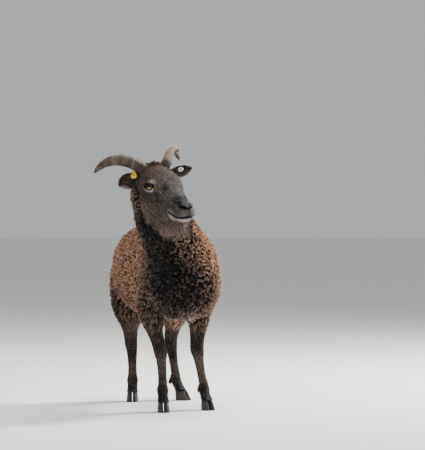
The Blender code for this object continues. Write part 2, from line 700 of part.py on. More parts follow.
def gathered(name, shapes, place=None):
    """A hidden collection of closed meshes for one Boolean."""
    collection = bpy.data.collections.new(name)
    bpy.context.scene.collection.children.link(collection)
    for i, bm in enumerate(shapes):
        if place:
            bmesh.ops.transform(bm, matrix=place, verts=bm.verts)
        piece = stand(collection, f"{name}_{i}", bm)
        piece.hide_render = True
        piece.display_type = "WIRE"
    return collection


def keep_largest(thing):
    """Keeps only the largest closed surface of an object's mesh."""
    bm = bmesh.new()
    bm.from_mesh(thing.data)
    unseen = set(bm.verts)
    islands = []
    while unseen:
        stack = [unseen.pop()]
        island = set(stack)
        while stack:
            for edge in stack.pop().link_edges:
                for vert in edge.verts:
                    if vert in unseen:
                        unseen.remove(vert)
                        island.add(vert)
                        stack.append(vert)
        islands.append(island)
    islands.sort(key=len)
    bmesh.ops.delete(bm, geom=[v for island in islands[:-1] for v in island], context="VERTS")
    bm.to_mesh(thing.data)
    bm.free()


def half_space(place, normal, shift, size=1.2):
    """A large block whose one face passes through a place, on the side that the normal points to."""
    bm = bmesh.new()
    bmesh.ops.create_cube(bm, size=size)
    bmesh.ops.translate(bm, vec=(0, 0, size / 2 + shift), verts=bm.verts)
    turn = normal.to_track_quat("Z", "Y").to_matrix()
    bmesh.ops.rotate(bm, cent=(0, 0, 0), matrix=turn, verts=bm.verts)
    bmesh.ops.translate(bm, vec=place, verts=bm.verts)
    return bm


def leg_region(leg, grow):
    """The block of space that one leg fills, under a top that slopes down towards the belly."""
    name, side = leg[:2]
    ahead, behind, level, middle_y, x_slope, y_slope = LEG_BLOCKS[name.split("_")[0]]
    near, far = LEG_BLOCK_X
    bm = bmesh.new()
    for x in (near - grow, far + grow):
        for y in (ahead - grow, behind + grow):
            top = level + x_slope * (x - LEG_BLOCK_MIDDLE_X) + y_slope * (y - middle_y)
            top = min(max(top, LEG_BLOCK_TOP[0]), LEG_BLOCK_TOP[1]) + grow
            bm.verts.new((side * x, y, top))
            bm.verts.new((side * x, y, -0.05))
    bmesh.ops.convex_hull(bm, input=bm.verts)
    return bm


def tail_region(grow):
    bm = bmesh.new()
    bmesh.ops.create_cube(bm, size=1)
    wide, long, tall = TAIL_BLOCK
    bmesh.ops.scale(bm, vec=(wide + 2 * grow, long, tall), verts=bm.verts)
    bmesh.ops.translate(bm, vec=(TAIL[0][0], TAIL_CUT_Y + long / 2 - grow, tall), verts=bm.verts)
    return bm


def flesh_pieces():
    """Everything that is one skin in life, apart from the trunk."""
    place = head_matrix()
    yield neck_mesh()
    yield tail_mesh()
    for leg in LEGS:
        yield leg_mesh(leg)
        yield from dewclaw_meshes(leg)
    head = [head_mesh()]
    skin = BVHTree.FromBMesh(head[0])
    for side in (-1, 1):
        eye = mirrored(EYE_PLACE, side)
        lids = EYE_RADIUS + LID_THICK
        head.append(ball(eye, (lids, lids, lids), eye_turn(side), *EYE_CUTS))
        head.append(tube(lid_outline(side, LID_ROLL_OUT)[0:9], LID_ROLL))
        head.append(nostril_ball(side, WING_HALF, WING_SHIFT))
        head.append(horn_stub_mesh(side))
        head.append(ear_stub_mesh(side))
    head.append(tube(mouth_points(skin, LIP_APART, LIP_SUNK), LIP_THICK))
    head.append(tube(mouth_points(skin, -LIP_APART, LIP_SUNK), LIP_THICK))
    for bm in head:
        bmesh.ops.transform(bm, matrix=place, verts=bm.verts)
        yield bm


def head_cutters():
    """The sockets, the openings of the lids, the nostrils, the line of the mouth and the cleft of the lip."""
    head = head_mesh()
    skin = BVHTree.FromBMesh(head)
    for side in (-1, 1):
        socket = EYE_RADIUS + GAP
        yield ball(mirrored(EYE_PLACE, side), (socket, socket, socket), eye_turn(side), *EYE_CUTS)
        yield lid_opening(side)
        yield nostril_ball(side, NOSTRIL_HALF)
    yield tube(mouth_points(skin, 0.0, -0.0008), MOUTH_CUT)
    yield tube([skin.ray_cast(Vector((0, MUZZLE_HEART.y, z)), Vector((0, -1, 0)))[0] for z in CLEFT], 0.0014)
    head.free()


def grown_copy(thing, margin):
    """A bmesh of an object with its surface moved out by a small margin."""
    bm = bmesh.new()
    bm.from_mesh(thing.data)
    bm.normal_update()
    for vert in bm.verts:
        vert.co += vert.normal * margin * vert.calc_shell_factor()
    return bm


def part_out(whole, collection, name, keep, drop, finish):
    """One node: the whole body inside one block and outside others."""
    node = whole.copy()
    node.data = whole.data.copy()
    node.name = node.data.name = name
    collection.objects.link(node)
    for i, bm in enumerate(keep):
        boolean(node, gathered(f"keep_{i}", [bm]), "INTERSECT")
    if drop:
        boolean(node, gathered("drop", drop), "DIFFERENCE")
    keep_largest(node)
    node.data.materials.clear()
    node.data.materials.append(finish)
    node.hide_render = False
    return node


def build_body(collection, hide, fleece):
    whole = stand(collection, "whole", trunk_mesh())
    boolean(whole, gathered("flesh", flesh_pieces()), "UNION")
    clumps = list(clump_meshes(whole))
    boolean(whole, gathered("clumps", clumps), "UNION")
    boolean(whole, gathered("features", head_cutters(), head_matrix()), "DIFFERENCE")

    head_side, neck_side = half_space(*HEAD_CUT, GAP / 2), half_space(*NECK_CUT, GAP / 2)
    part_out(whole, collection, "head", [head_side], [], hide)
    part_out(whole, collection, "neck", [neck_side], [half_space(*HEAD_CUT, -GAP / 2)], fleece)
    for leg in LEGS:
        part_out(whole, collection, f"leg_{leg[0]}", [leg_region(leg, 0.0)], [], hide)
    part_out(whole, collection, "tail", [tail_region(0.0)], [], fleece)
    others = [leg_region(leg, GAP) for leg in LEGS] + [tail_region(GAP), half_space(*NECK_CUT, -GAP / 2)]
    part_out(whole, collection, "torso", [], others, fleece)
    bpy.data.objects.remove(whole)


def build_hooves(collection, hoof):
    for leg in LEGS:
        for side, claw in ((-1, "inner"), (1, "outer")):
            across = side * leg[1]
            stand(collection, f"hoof_{leg[0]}_{claw}", claw_mesh(leg, across), hoof)


def build_head_fittings(collection, hide, horn, iris, yellow, white):
    place = head_matrix()
    for side, word in ((-1, "right"), (1, "left")):
        ear = ear_mesh(side)
        hole = tag_mesh(side, GAP)
        tag = tag_mesh(side)
        eye = ball(mirrored(EYE_PLACE, side), (EYE_RADIUS,) * 3, eye_turn(side), *EYE_CUTS)
        made = [ear, horn_mesh(side), eye, tag, hole]
        for bm in made:
            bmesh.ops.transform(bm, matrix=place, verts=bm.verts)
        ear_object = stand(collection, f"ear_{word}", ear, hide)
        cutters = [hole] + [grown_copy(collection.objects[name], GAP) for name in ("head", "neck")]
        boolean(ear_object, gathered("clear", cutters), "DIFFERENCE")
        keep_largest(ear_object)
        stand(collection, f"horn_{word}", made[1], horn)
        stand(collection, f"eye_{word}", eye, iris)
        stand(collection, f"tag_{word}", tag, yellow if side < 0 else white)


def stand_on_origin(collection):
    """Moves every mesh so that the animal stands with the middle of its box over the origin."""
    for thing in collection.objects:
        thing.data.transform(Matrix.Translation((-BOX_CENTRE.x, -BOX_CENTRE.y, 0)))


def main():
    clear_scene()
    sheep = bpy.data.collections.new("soay_sheep")
    bpy.context.scene.collection.children.link(sheep)
    hide = material("short_hair", HIDE, 0.75)
    fleece = material("fleece", FLEECE, 0.95)
    horn = material("horn", HORN, 0.55)
    hoof = material("hoof", HOOF, 0.6)
    iris = material("eye", IRIS, 0.1)
    yellow = material("tag_yellow", YELLOW, 0.4)
    white = material("tag_white", WHITE, 0.4)
    build_body(sheep, hide, fleece)
    build_hooves(sheep, hoof)
    build_head_fittings(sheep, hide, horn, iris, yellow, white)
    stand_on_origin(sheep)


main()
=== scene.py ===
"""The looks of a Soay sheep: its skin, wool, short hair, eyes, horns, hooves and ear tags.

Metres, +Z up. The body's sizes are written with the feet at z = 0, the nose towards -Y and the animal's own
left side at +X, as they are in the part. ROW_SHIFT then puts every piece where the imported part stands.
"""

import math

import bmesh
import bpy
import numpy as np
from bpy.props import FloatProperty, FloatVectorProperty, IntProperty, PointerProperty
from mathutils import Euler, Matrix, Quaternion, Vector
from mathutils.bvhtree import BVHTree
from mathutils.kdtree import KDTree


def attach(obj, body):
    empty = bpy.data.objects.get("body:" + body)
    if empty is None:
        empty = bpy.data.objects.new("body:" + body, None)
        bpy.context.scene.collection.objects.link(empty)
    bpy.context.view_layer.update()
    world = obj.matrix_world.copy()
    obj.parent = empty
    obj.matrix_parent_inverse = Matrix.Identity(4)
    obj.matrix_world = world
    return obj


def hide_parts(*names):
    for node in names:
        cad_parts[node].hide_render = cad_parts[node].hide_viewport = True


bl_info = {
    "name": "Soay Sheep",
    "version": (1, 0, 0),
    "blender": (4, 5, 0),
    "location": "3D View > Sidebar > Sheep",
    "description": "Dresses the plain model of a Soay sheep in skin, wool, hair and horn",
    "category": "Object",
}

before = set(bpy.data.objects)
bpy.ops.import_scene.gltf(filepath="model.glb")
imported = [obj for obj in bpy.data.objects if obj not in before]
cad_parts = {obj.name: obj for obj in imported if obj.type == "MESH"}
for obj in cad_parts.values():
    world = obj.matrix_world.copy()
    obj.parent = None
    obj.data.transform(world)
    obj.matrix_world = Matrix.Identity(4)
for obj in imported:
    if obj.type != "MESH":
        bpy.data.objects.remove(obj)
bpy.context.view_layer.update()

# Where the body stands in the row
BOX_CENTRE = Vector((-0.0745, 0.0310, 0.0))
ROW_SHIFT = Matrix.Translation(-BOX_CENTRE)

# Trunk: along y, the centre's x, the half width of the skin, its top, its widest level and its bottom
TRUNK = (
    (-0.252, -0.014, 0.020, 0.445, 0.415, 0.390),
    (-0.236, -0.015, 0.050, 0.480, 0.410, 0.350),
    (-0.200, -0.016, 0.078, 0.520, 0.405, 0.315),
    (-0.150, -0.016, 0.096, 0.550, 0.400, 0.298),
    (-0.080, -0.014, 0.105, 0.570, 0.400, 0.296),
    (0.000, -0.011, 0.118, 0.568, 0.398, 0.294),
    (0.080, -0.010, 0.130, 0.562, 0.398, 0.294),
    (0.160, -0.010, 0.134, 0.562, 0.405, 0.304),
    (0.230, -0.010, 0.129, 0.566, 0.420, 0.330),
    (0.290, -0.010, 0.115, 0.560, 0.430, 0.362),
    (0.335, -0.010, 0.085, 0.535, 0.440, 0.392),
    (0.358, -0.010, 0.045, 0.505, 0.455, 0.420),
)
TRUNK_FULLNESS = (2.25, 2.1)

# Neck: centre x, y, z, half width and half depth
NECK = (
    (-0.014, -0.095, 0.430, 0.088, 0.120),
    (-0.032, -0.140, 0.500, 0.080, 0.110),
    (-0.0650, -0.154, 0.560, 0.0685, 0.092),
    (-0.0985, -0.156, 0.620, 0.0600, 0.076),
    (-0.115, -0.158, 0.675, 0.056, 0.064),
    (-0.119, -0.168, 0.730, 0.044, 0.048),
)
NECK_COAT = 0.80

# Head, in its own frame: the poll at the origin, the nose towards -y and the crown up
HEAD_PLACE = Vector((-0.1194, -0.1763, 0.7733))
HEAD_TURN, HEAD_NOD, HEAD_TILT = (math.radians(a) for a in (18.25, 16.3, -4.5))
HEAD_FRAME = Matrix.Translation(HEAD_PLACE)
HEAD_FRAME @= Euler((HEAD_NOD, HEAD_TILT, HEAD_TURN), "YXZ").to_matrix().to_4x4()
THROAT_TURN = HEAD_TURN - math.radians(20)  # the throat's long hair faces less to the side than the head
# y, half width, top, widest level, bottom
HEAD = (
    (0.050, 0.026, -0.050, -0.075, -0.100),
    (0.034, 0.043, -0.020, -0.062, -0.122),
    (0.006, 0.053, 0.000, -0.055, -0.140),
    (-0.026, 0.0570, 0.003, -0.050, -0.150),
    (-0.056, 0.0585, -0.001, -0.050, -0.150),
    (-0.086, 0.0545, -0.011, -0.052, -0.150),
    (-0.114, 0.0450, -0.025, -0.066, -0.146),
    (-0.144, 0.0365, -0.039, -0.082, -0.1425),
    (-0.172, 0.0325, -0.050, -0.090, -0.1400),
    (-0.196, 0.0305, -0.060, -0.092, -0.1345),
    (-0.214, 0.0265, -0.070, -0.094, -0.126),
    (-0.225, 0.0175, -0.080, -0.096, -0.116),
    (-0.2300, 0.0080, -0.088, -0.097, -0.107),
)

# Eyes and lids
EYE_PLACE = Vector((0.0438, -0.0680, -0.0480))
EYE_RADIUS = 0.0160
EYE_LOOK = Vector((0.86, -0.50, 0.06)).normalized()
LID_THICK = 0.0024
LID_HALF_LENGTH, LID_HALF_HEIGHT = 0.0192, 0.0070
LID_SLANT = math.radians(-14)
GAZE_TURN = math.radians(12)  # the eyes look this far out of the middle of their lids

# Muzzle. Nostrils: their middle, the way the slit runs and opens, and half sizes along, outwards and across
MUZZLE_HEART = Vector((0.0, -0.175, -0.095))
NOSTRIL_PLACE = Vector((0.0122, -0.2150, -0.0765))
NOSTRIL_RUNS = Vector((-0.74, -0.66, -0.13)).normalized()
NOSTRIL_OPENS = Vector((0.50, -0.70, 0.50)).normalized()
NOSTRIL_HALF = Vector((0.0120, 0.0075, 0.0025))
WING_HALF, WING_SHIFT = Vector((0.0130, 0.0062, 0.0050)), Vector((0.0005, 0.0030, 0.0048))
MOUTH_LEVEL, MOUTH_DIP, MOUTH_RISE = -0.0985, 0.0075, -0.0080
MOUTH_TURN = math.radians(112)
CLEFT = (-0.079, -0.084, -0.089, -0.094, -0.098)
LIP_THICK, LIP_APART, LIP_SUNK = 0.0052, 0.0062, 0.0024

# Horns from root to tip: x, y, z, half width and half depth. The left one is worn off short of its tip
HORNS = {
    -1: (
        (0.0330, 0.0000, -0.0150, 0.0177, 0.0205),
        (0.0513, 0.0052, -0.0028, 0.0180, 0.0208),
        (0.0697, 0.0147, 0.0061, 0.0180, 0.0209),
        (0.0879, 0.0273, 0.0105, 0.0178, 0.0205),
        (0.1054, 0.0416, 0.0099, 0.0171, 0.0196),
        (0.1219, 0.0558, 0.0040, 0.0157, 0.0178),
        (0.1359, 0.0676, -0.0059, 0.0134, 0.0152),
        (0.1460, 0.0751, -0.0162, 0.0107, 0.0122),
        (0.1534, 0.0795, -0.0255, 0.0079, 0.0091),
        (0.1583, 0.0819, -0.0327, 0.0053, 0.0061),
        (0.1612, 0.0829, -0.0372, 0.0032, 0.0038),
        (0.1631, 0.0835, -0.0402, 0.0010, 0.0010),
    ),
    1: (
        (0.0413, -0.0040, 0.0002, 0.0136, 0.0144),
        (0.0491, 0.0040, 0.0096, 0.0134, 0.0142),
        (0.0596, 0.0130, 0.0198, 0.0130, 0.0138),
        (0.0728, 0.0230, 0.0297, 0.0118, 0.0125),
        (0.0886, 0.0300, 0.0347, 0.0102, 0.0108),
        (0.0993, 0.0300, 0.0318, 0.0088, 0.0093),
        (0.0995, 0.0220, 0.0240, 0.0078, 0.0083),
        (0.0907, 0.0100, 0.0158, 0.0066, 0.0070),
    ),
}
HORN_AXIS = Vector((-0.963, 0.190, 0.190)).normalized()
HORN_FULLNESS = (1.8, 2.2)
HORN_RINGS = {-1: 34, 1: 24}

# Ears
EAR_ROOT = Vector((0.048, 0.010, -0.047))
EAR_TIPS = {-1: Vector((0.127, -0.012, -0.036)), 1: Vector((0.127, -0.020, -0.014))}
EAR_FACES = Vector((0.16, -0.90, -0.36)).normalized()
EAR_HALF_UP, EAR_HALF_DOWN = 0.0200, 0.0360
EAR_THICK = 0.0030

# Ear tags: how far out along the ear, how far up round its cup, and the way the front disc faces
TAG_PLACES = {-1: (0.30, 0.55), 1: (0.625, -0.10)}
TAG_FACES = {-1: Vector((-0.30, -0.86, -0.10)).normalized(), 1: Vector((-0.25, -0.90, -0.30)).normalized()}
TAG_RADIUS, TAG_PIN = 0.0095, 0.0032
TAG_HANG = {-1: 0.0055, 1: 0.0}  # how much further its front disc stands off the ear

# Legs: z, distance from the middle, y, half width, half depth
FRONT_LEG = (
    (0.420, 0.060, -0.098, 0.034, 0.070),
    (0.350, 0.068, -0.090, 0.034, 0.058),
    (0.300, 0.073, -0.084, 0.031, 0.045),
    (0.262, 0.073, -0.084, 0.0265, 0.035),
    (0.225, 0.067, -0.087, 0.0215, 0.0260),
    (0.200, 0.063, -0.091, 0.0208, 0.0228),
    (0.182, 0.0625, -0.094, 0.0198, 0.0212),
    (0.160, 0.064, -0.098, 0.0150, 0.0165),
    (0.118, 0.067, -0.104, 0.0122, 0.0145),
    (0.086, 0.071, -0.109, 0.0130, 0.0155),
)
HIND_LEG = (
    (0.440, 0.068, 0.268, 0.048, 0.082),
    (0.380, 0.074, 0.260, 0.049, 0.082),
    (0.325, 0.078, 0.258, 0.043, 0.068),
    (0.280, 0.079, 0.272, 0.034, 0.049),
    (0.240, 0.075, 0.294, 0.0245, 0.0345),
    (0.208, 0.071, 0.312, 0.0200, 0.0300),
    (0.184, 0.070, 0.314, 0.0188, 0.0250),
    (0.160, 0.070, 0.309, 0.0158, 0.0190),
    (0.122, 0.072, 0.302, 0.0128, 0.0155),
    (0.090, 0.074, 0.297, 0.0132, 0.0160),
)
FOOT = (
    (0.070, 0.000, 0.0172, 0.0185),
    (0.054, 0.008, 0.0152, 0.0165),
    (0.040, 0.017, 0.0160, 0.0172),
    (0.0303, 0.024, 0.0178, 0.0205),
)
LEG_BEND_TOP = 0.30
# Name, side, rows, how far the foot stands ahead, how far its toes turn out, the sideways lean of the leg
LEGS = (
    ("front_right", -1, FRONT_LEG, 0.024, math.radians(8), -0.10),
    ("front_left", 1, FRONT_LEG, -0.030, math.radians(14), -0.10),
    ("hind_right", -1, HIND_LEG, 0.000, math.radians(14), -0.05),
    ("hind_left", 1, HIND_LEG, -0.006, math.radians(42), -0.07),
)
CLAW_LENGTH, CLAW_WIDTH, CLAW_SPLIT = 0.046, 0.0175, 0.0022

# Tail
TAIL = (
    (-0.010, 0.335, 0.505, 0.020, 0.016),
    (-0.010, 0.368, 0.492, 0.017, 0.014),
    (-0.012, 0.384, 0.458, 0.014, 0.012),
    (-0.012, 0.388, 0.420, 0.011, 0.010),
    (-0.011, 0.386, 0.388, 0.006, 0.005),
)
TAIL_CUT_Y = 0.372

HEAD_CUT = (Vector((-0.112, -0.170, 0.684)), Vector((0.16, -0.63, 0.76)).normalized())
NECK_CUT = (Vector((-0.040, -0.160, 0.520)), Vector((-0.10, -0.62, 0.78)).normalized())

# Camera: distance, height, turn to the animal's right and focal length in pixels of the 425 x 450 picture
CAMERA_DISTANCE, CAMERA_HEIGHT = 8.154, 0.6875
CAMERA_TURN = math.radians(14)
CAMERA_FOCUS = 2560.0
PICTURE = (425, 450)
PICTURE_ORIGIN = (177.5, 192.0)  # the picture's point that looks level along the camera's turn

# Parts of the skin, each with its own field of the unwrap: left, bottom, width, height
TRUNK_PART, NECK_PART, HEAD_PART, EAR_RIGHT, EAR_LEFT, TAIL_PART, FIRST_LEG = range(7)
FIELDS = np.array(
    (
        (0.01, 0.01, 0.98, 0.38),
        (0.01, 0.41, 0.40, 0.16),
        (0.43, 0.41, 0.56, 0.36),
        (0.01, 0.59, 0.19, 0.10),
        (0.22, 0.59, 0.19, 0.10),
        (0.01, 0.71, 0.20, 0.07),
        (0.01, 0.80, 0.22, 0.19),
        (0.26, 0.80, 0.22, 0.19),
        (0.51, 0.80, 0.22, 0.19),
        (0.76, 0.80, 0.22, 0.19),
    )
)
TUFT_PATCH = 0.003  # width of one tuft in the unwrap
TUFT_SIDES, TUFT_FLATNESS = 3, 0.62  # a tuft's section, and its thickness over its width
PIECE_LIMIT = 185000  # most triangles in one piece of the coat
CELL_STRIDE = 7919  # a prime, so that no two cells of the grid for the roots share a number
# A tuft's half width at each step from its root to its tip
WOOL_TAPER = (0.7, 0.8, 0.95, 1.05, 1.05, 1.0, 0.9, 0.7, 0.15)
HAIR_TAPER = (0.8, 1.0, 0.7, 0.1)

# Where the hind (0) and the front (1) legs begin: slope along y, its middle, level and slope across
LEG_TOPS = ((0.30, 0.265, 0.330, 0.62), (-0.42, -0.085, 0.300, 0.60))

# The coat's tones from 0 to 1: how pale and how warm, that is brown and not grey, each part of it is
COAT_TONE, THROAT_TONE, LEG_TONE = (0.44, 0.85), (0.25, 0.50), (0.07, 0.55)
HEAD_TONE, POLL_TONE, LIP_TONE = (0.168, 0.32), (0.40, 0.80), (0.88, 0.06)
# Soft patches on it: their middle, their reach, how much paler and how much warmer. A few of them are painted
# highlights.
BODY_MARKS_AND_HIGHLIGHTS = (
    ((-0.112, -0.20, 0.48), (0.070, 0.11, 0.14), -0.44, -0.45),
    ((-0.130, -0.21, 0.60), (0.060, 0.10, 0.07), -0.34, -0.40),
    ((-0.030, -0.27, 0.38), (0.085, 0.11, 0.10), -0.42, -0.30),
    ((0.065, -0.20, 0.53), (0.070, 0.13, 0.10), 0.42, 0.15),
    ((0.110, -0.08, 0.45), (0.060, 0.15, 0.14), 0.24, 0.15),
    # painted highlight: the animal's right flank is painted paler where the light falls on it
    ((-0.150, 0.04, 0.46), (0.060, 0.20, 0.13), 0.34, 0.0),
    ((-0.050, -0.16, 0.285), (0.070, 0.11, 0.035), 0.42, -0.50),
    ((-0.120, 0.27, 0.30), (0.080, 0.14, 0.09), -0.36, -0.15),
    ((-0.080, -0.09, 0.28), (0.080, 0.12, 0.07), -0.30, -0.20),
    ((0.060, -0.09, 0.28), (0.050, 0.12, 0.07), -0.20, -0.10),
)
FACE_MARKS_AND_HIGHLIGHTS = (
    ((0.020, -0.055, -0.006), (0.050, 0.045, 0.030), 0.06, 0.30),
    ((0.0, 0.012, 0.010), (0.030, 0.028, 0.030), 0.14, 0.70),
    ((0.036, -0.146, -0.084), (0.020, 0.040, 0.020), -0.02, -0.18),
    ((0.024, -0.158, -0.057), (0.030, 0.036, 0.020), 0.05, -0.18),
    ((0.050, -0.075, -0.090), (0.020, 0.040, 0.028), -0.03, 0.20),
    ((0.057, -0.036, -0.042), (0.012, 0.024, 0.020), 0.00, 0.22),
    ((0.036, -0.070, -0.132), (0.030, 0.060, 0.026), 0.17, 0.22),
    ((0.016, -0.100, -0.146), (0.030, 0.050, 0.016), 0.16, 0.20),
    ((0.050, -0.106, -0.066), (0.010, 0.018, 0.011), -0.12, -0.05),
    ((0.029, -0.122, -0.040), (0.005, 0.009, 0.004), -0.20, -0.05),
    ((0.0512, -0.078, -0.0305), (0.008, 0.013, 0.0065), 0.75, -0.16),
    ((0.050, -0.055, -0.026), (0.010, 0.016, 0.006), -0.10, 0.05),
    ((0.031, -0.168, -0.100), (0.008, 0.010, 0.005), 0.24, -0.10),
    ((0.031, -0.176, -0.096), (0.012, 0.012, 0.008), 0.16, -0.14),
    # painted highlight: the front of the upper lip is painted paler where the light falls on the muzzle
    ((0.016, -0.224, -0.090), (0.012, 0.010, 0.009), 0.16, -0.14),
    ((0.0, -0.185, -0.142), (0.022, 0.030, 0.006), -0.20, 0.30),
    ((0.030, -0.150, -0.085), (0.030, 0.050, 0.030), -0.05, 0.0),
    ((0.008, -0.190, -0.060), (0.026, 0.022, 0.016), -0.30, -0.20),
)
# Swellings and hollows of the face: their middle, their reach and how far they rise
FACE_FOLDS = (
    ((0.040, -0.128, -0.072), (0.012, 0.026, 0.010), -0.0030),
    ((0.050, -0.020, -0.100), (0.020, 0.036, 0.028), 0.0030),
    ((0.052, -0.075, -0.026), (0.010, 0.022, 0.007), 0.0032),
    ((0.048, -0.100, -0.038), (0.008, 0.010, 0.008), -0.0020),
    ((0.030, -0.124, -0.040), (0.006, 0.012, 0.005), -0.0016),
    ((0.032, -0.205, -0.094), (0.010, 0.014, 0.008), 0.0022),
    ((0.033, -0.160, -0.106), (0.008, 0.007, 0.007), -0.0022),
    ((0.036, -0.148, -0.100), (0.008, 0.010, 0.012), 0.0016),
    ((0.030, -0.182, -0.070), (0.008, 0.014, 0.008), -0.0016),
    ((0.0, -0.214, -0.132), (0.020, 0.020, 0.012), 0.0012),
    ((0.0, -0.060, 0.002), (0.016, 0.030, 0.012), -0.0012),
    ((0.028, -0.045, 0.000), (0.014, 0.020, 0.012), 0.0016),
)
# Cheek crest, edge of the bridge and tear duct: from, to, how many steps, half width and rise
FACE_LINES = (
    ((0.0475, -0.094, -0.058), (0.0365, -0.146, -0.080), 30, 0.0055, 0.0026),
    ((0.021, -0.090, -0.020), (0.014, -0.180, -0.056), 40, 0.0050, 0.0016),
    ((0.0476, -0.0966, -0.0450), (0.0425, -0.112, -0.058), 20, 0.0022, -0.0016),
)
# Bare leather: from, to, how many steps, all bare up to, none beyond
LEATHER = (
    (NOSTRIL_PLACE - NOSTRIL_RUNS * 0.016, NOSTRIL_PLACE + NOSTRIL_RUNS * 0.016, 20, 0.0042, 0.0066),
    ((0.0, -0.2025, -0.0655), (0.014, -0.2046, -0.0655), 7, 0.0150, 0.0185),
    ((0.0, -0.228, -0.078), (0.0, -0.228, -0.098), 10, 0.0028, 0.0048),
)
NOSE_PAD, NOSE_PAD_SHAPE, NOSE_PAD_SIZE = (0.006, -0.207, -0.070), (1.55, 1.45, 1.2), 0.0132
CREST_STREAK = ((0.0470, -0.100, -0.0440), (0.0351, -0.145, -0.069), 30)  # the pale streak beside the crest

HORN_STEPS = {-1: 30, 1: 40}  # sections between two rows of a horn
# Lumps of the left horn's worn end: place from its middle, radii
HORN_KNOB = (
    ((0.000, 0.000, 0.000), (0.0078, 0.0070, 0.0072)),
    ((-0.003, 0.004, 0.006), (0.0060, 0.0062, 0.0066)),
    ((0.002, -0.004, -0.005), (0.0048, 0.0050, 0.0056)),
)
# A claw's levels: height, share of its length, how far ahead, share of its width
CLAW_ROWS = (
    (0.0000, 0.975, 0.0075, 0.975),
    (0.0010, 1.000, 0.0074, 1.010),
    (0.0040, 1.000, 0.0070, 1.020),
    (0.0160, 0.900, 0.0030, 0.980),
    (0.0250, 0.800, 0.0000, 0.900),
    (0.0300, 0.700, -0.0016, 0.800),
)
# Half profiles of a tag, from the pin's ends: distance along it, radius. The front disc has an open socket.
TAG_BACK = (
    (-0.0024, 0.0),
    (-0.0024, 0.0070),
    (-0.0018, 0.0088),
    (-0.0010, TAG_RADIUS),
    (0.0, 0.0090),
    (0.0, 0.0026),
)
TAG_FRONT = (
    (0.0, 0.0026),
    (0.0, 0.0090),
    (0.0010, TAG_RADIUS),
    (0.0018, 0.0088),
    (0.0022, 0.0072),
    (0.0023, 0.0046),
    (0.0021, 0.0036),
    (-0.0040, 0.0020),
    (-0.0044, 0.0),
)
# Soft lights: name, place, aim, width and watts
LIGHTS = (
    ("sky_panel", (0.6, 0.2, 3.4), (0, 0, 0.4), 2.0, 110),
    ("side_panel", (3.0, 0.9, 2.6), (0, 0, 0.45), 0.9, 300),
    ("front_panel", (-2.6, -3.2, 2.4), (0, 0, 0.5), 1.6, 60),
)

X, Y, Z = Vector((1, 0, 0)), Vector((0, 1, 0)), Vector((0, 0, 1))
SIDES = ((-1, "right"), (1, "left"))
EARS = ((-1, EAR_RIGHT), (1, EAR_LEFT))
COLOUR_MIX = {"out": 2, "data_type": "RGBA"}  # a mix node's colours are its inputs 6 and 7 and its output 2


def srgb(text):
    """A hex colour as the eye sees it, turned to the linear values that shaders take."""
    parts = [int(text[i : i + 2], 16) / 255 for i in (1, 3, 5)]
    return [c / 12.92 if c <= 0.04045 else ((c + 0.055) / 1.055) ** 2.4 for c in parts]


def colour(name, text, about):
    limits = {"size": 3, "min": 0.0, "max": 1.0}
    return FloatVectorProperty(name=name, description=about, default=srgb(text), subtype="COLOR", **limits)


def length(name, value, about):
    return FloatProperty(name=name, description=about, default=value, unit="LENGTH")


class SoaySizes(bpy.types.PropertyGroup):
    coat_depth: length("Coat depth", 0.030, "Skin to the tips of the curls on the trunk")
    curl_radius: length("Curl radius", 0.0032, "Radius of one curl of wool")
    curl_spacing: length("Curl spacing", 0.0060, "Distance between the roots of the locks")
    nub_spacing: length("Nub spacing", 0.0092, "Distance between the nubs that the curls meet in")
    lock_width: length("Lock width", 0.0022, "Half the width of a lock of wool")
    hair_spacing: length("Hair spacing", 0.0025, "Distance between tufts of short hair")
    hair_length: length("Hair length", 0.0070, "Length of the short hair on the face")
    hair_width: length("Hair width", 0.0007, "Half the width of a tuft of short hair")
    seed: IntProperty(name="Seed", description="Another lie of the coat", default=7, min=0)


class SoayColours(bpy.types.PropertyGroup):
    hair_dark: colour("Dark hair", "#100f10", "The darkest hair of the face and legs")
    hair_pale: colour("Pale hair", "#d6d0d0", "The palest hair, on the chin and the rims of the ears")
    wool_dark: colour("Dark wool", "#0f0a08", "Wool at the front of the chest")
    wool_burnt: colour("Sunburnt wool", "#e0a274", "Tips of the wool that the weather has bleached")
    leather: colour("Nose leather", "#0b0b0e", "Bare skin of the nose, lips and lids")
    # dark horn also gives the partly painted shade in the grooves and the painted shade on the underside of
    # the horns
    horn_dark: colour("Dark horn", "#2a1f17", "Grooves and the underside of the horns")
    horn_pale: colour("Pale horn", "#a08a74", "Ridges and worn horn")
    hoof: colour("Hoof", "#262321", "Hoof horn")
    iris: colour("Iris", "#8b7446", "Amber of the eye")
    tag_right: colour("Right tag", "#f2c21a", "Plastic of the right tag")
    tag_left: colour("Left tag", "#d8d8d6", "Metal of the left tag")
    floor: colour("Floor", "#f3f1ed", "The plain floor")


# Shapes


def smooth_rows(rows, steps):
    """More rows between the given ones, each number on its own Catmull-Rom curve."""
    made = []
    for i in range(len(rows) - 1):
        a, b, c, d = (np.array(rows[min(max(j, 0), len(rows) - 1)]) for j in (i - 1, i, i + 1, i + 2))
        for step in range(steps):
            t = step / steps
            curve = 2 * b + (c - a) * t + (2 * a - 5 * b + 4 * c - d) * t**2
            made.append(tuple((curve + (3 * b - a - 3 * c + d) * t**3) / 2))
    return [*made, tuple(rows[-1])]


def direction(points, i):
    """The way a row of points runs at one of them."""
    return (points[min(i + 1, len(points) - 1)] - points[max(i - 1, 0)]).normalized()


def square_to(vector, along):
    """The part of a vector that is square to a direction, one long."""
    return (vector - along * vector.dot(along)).normalized()


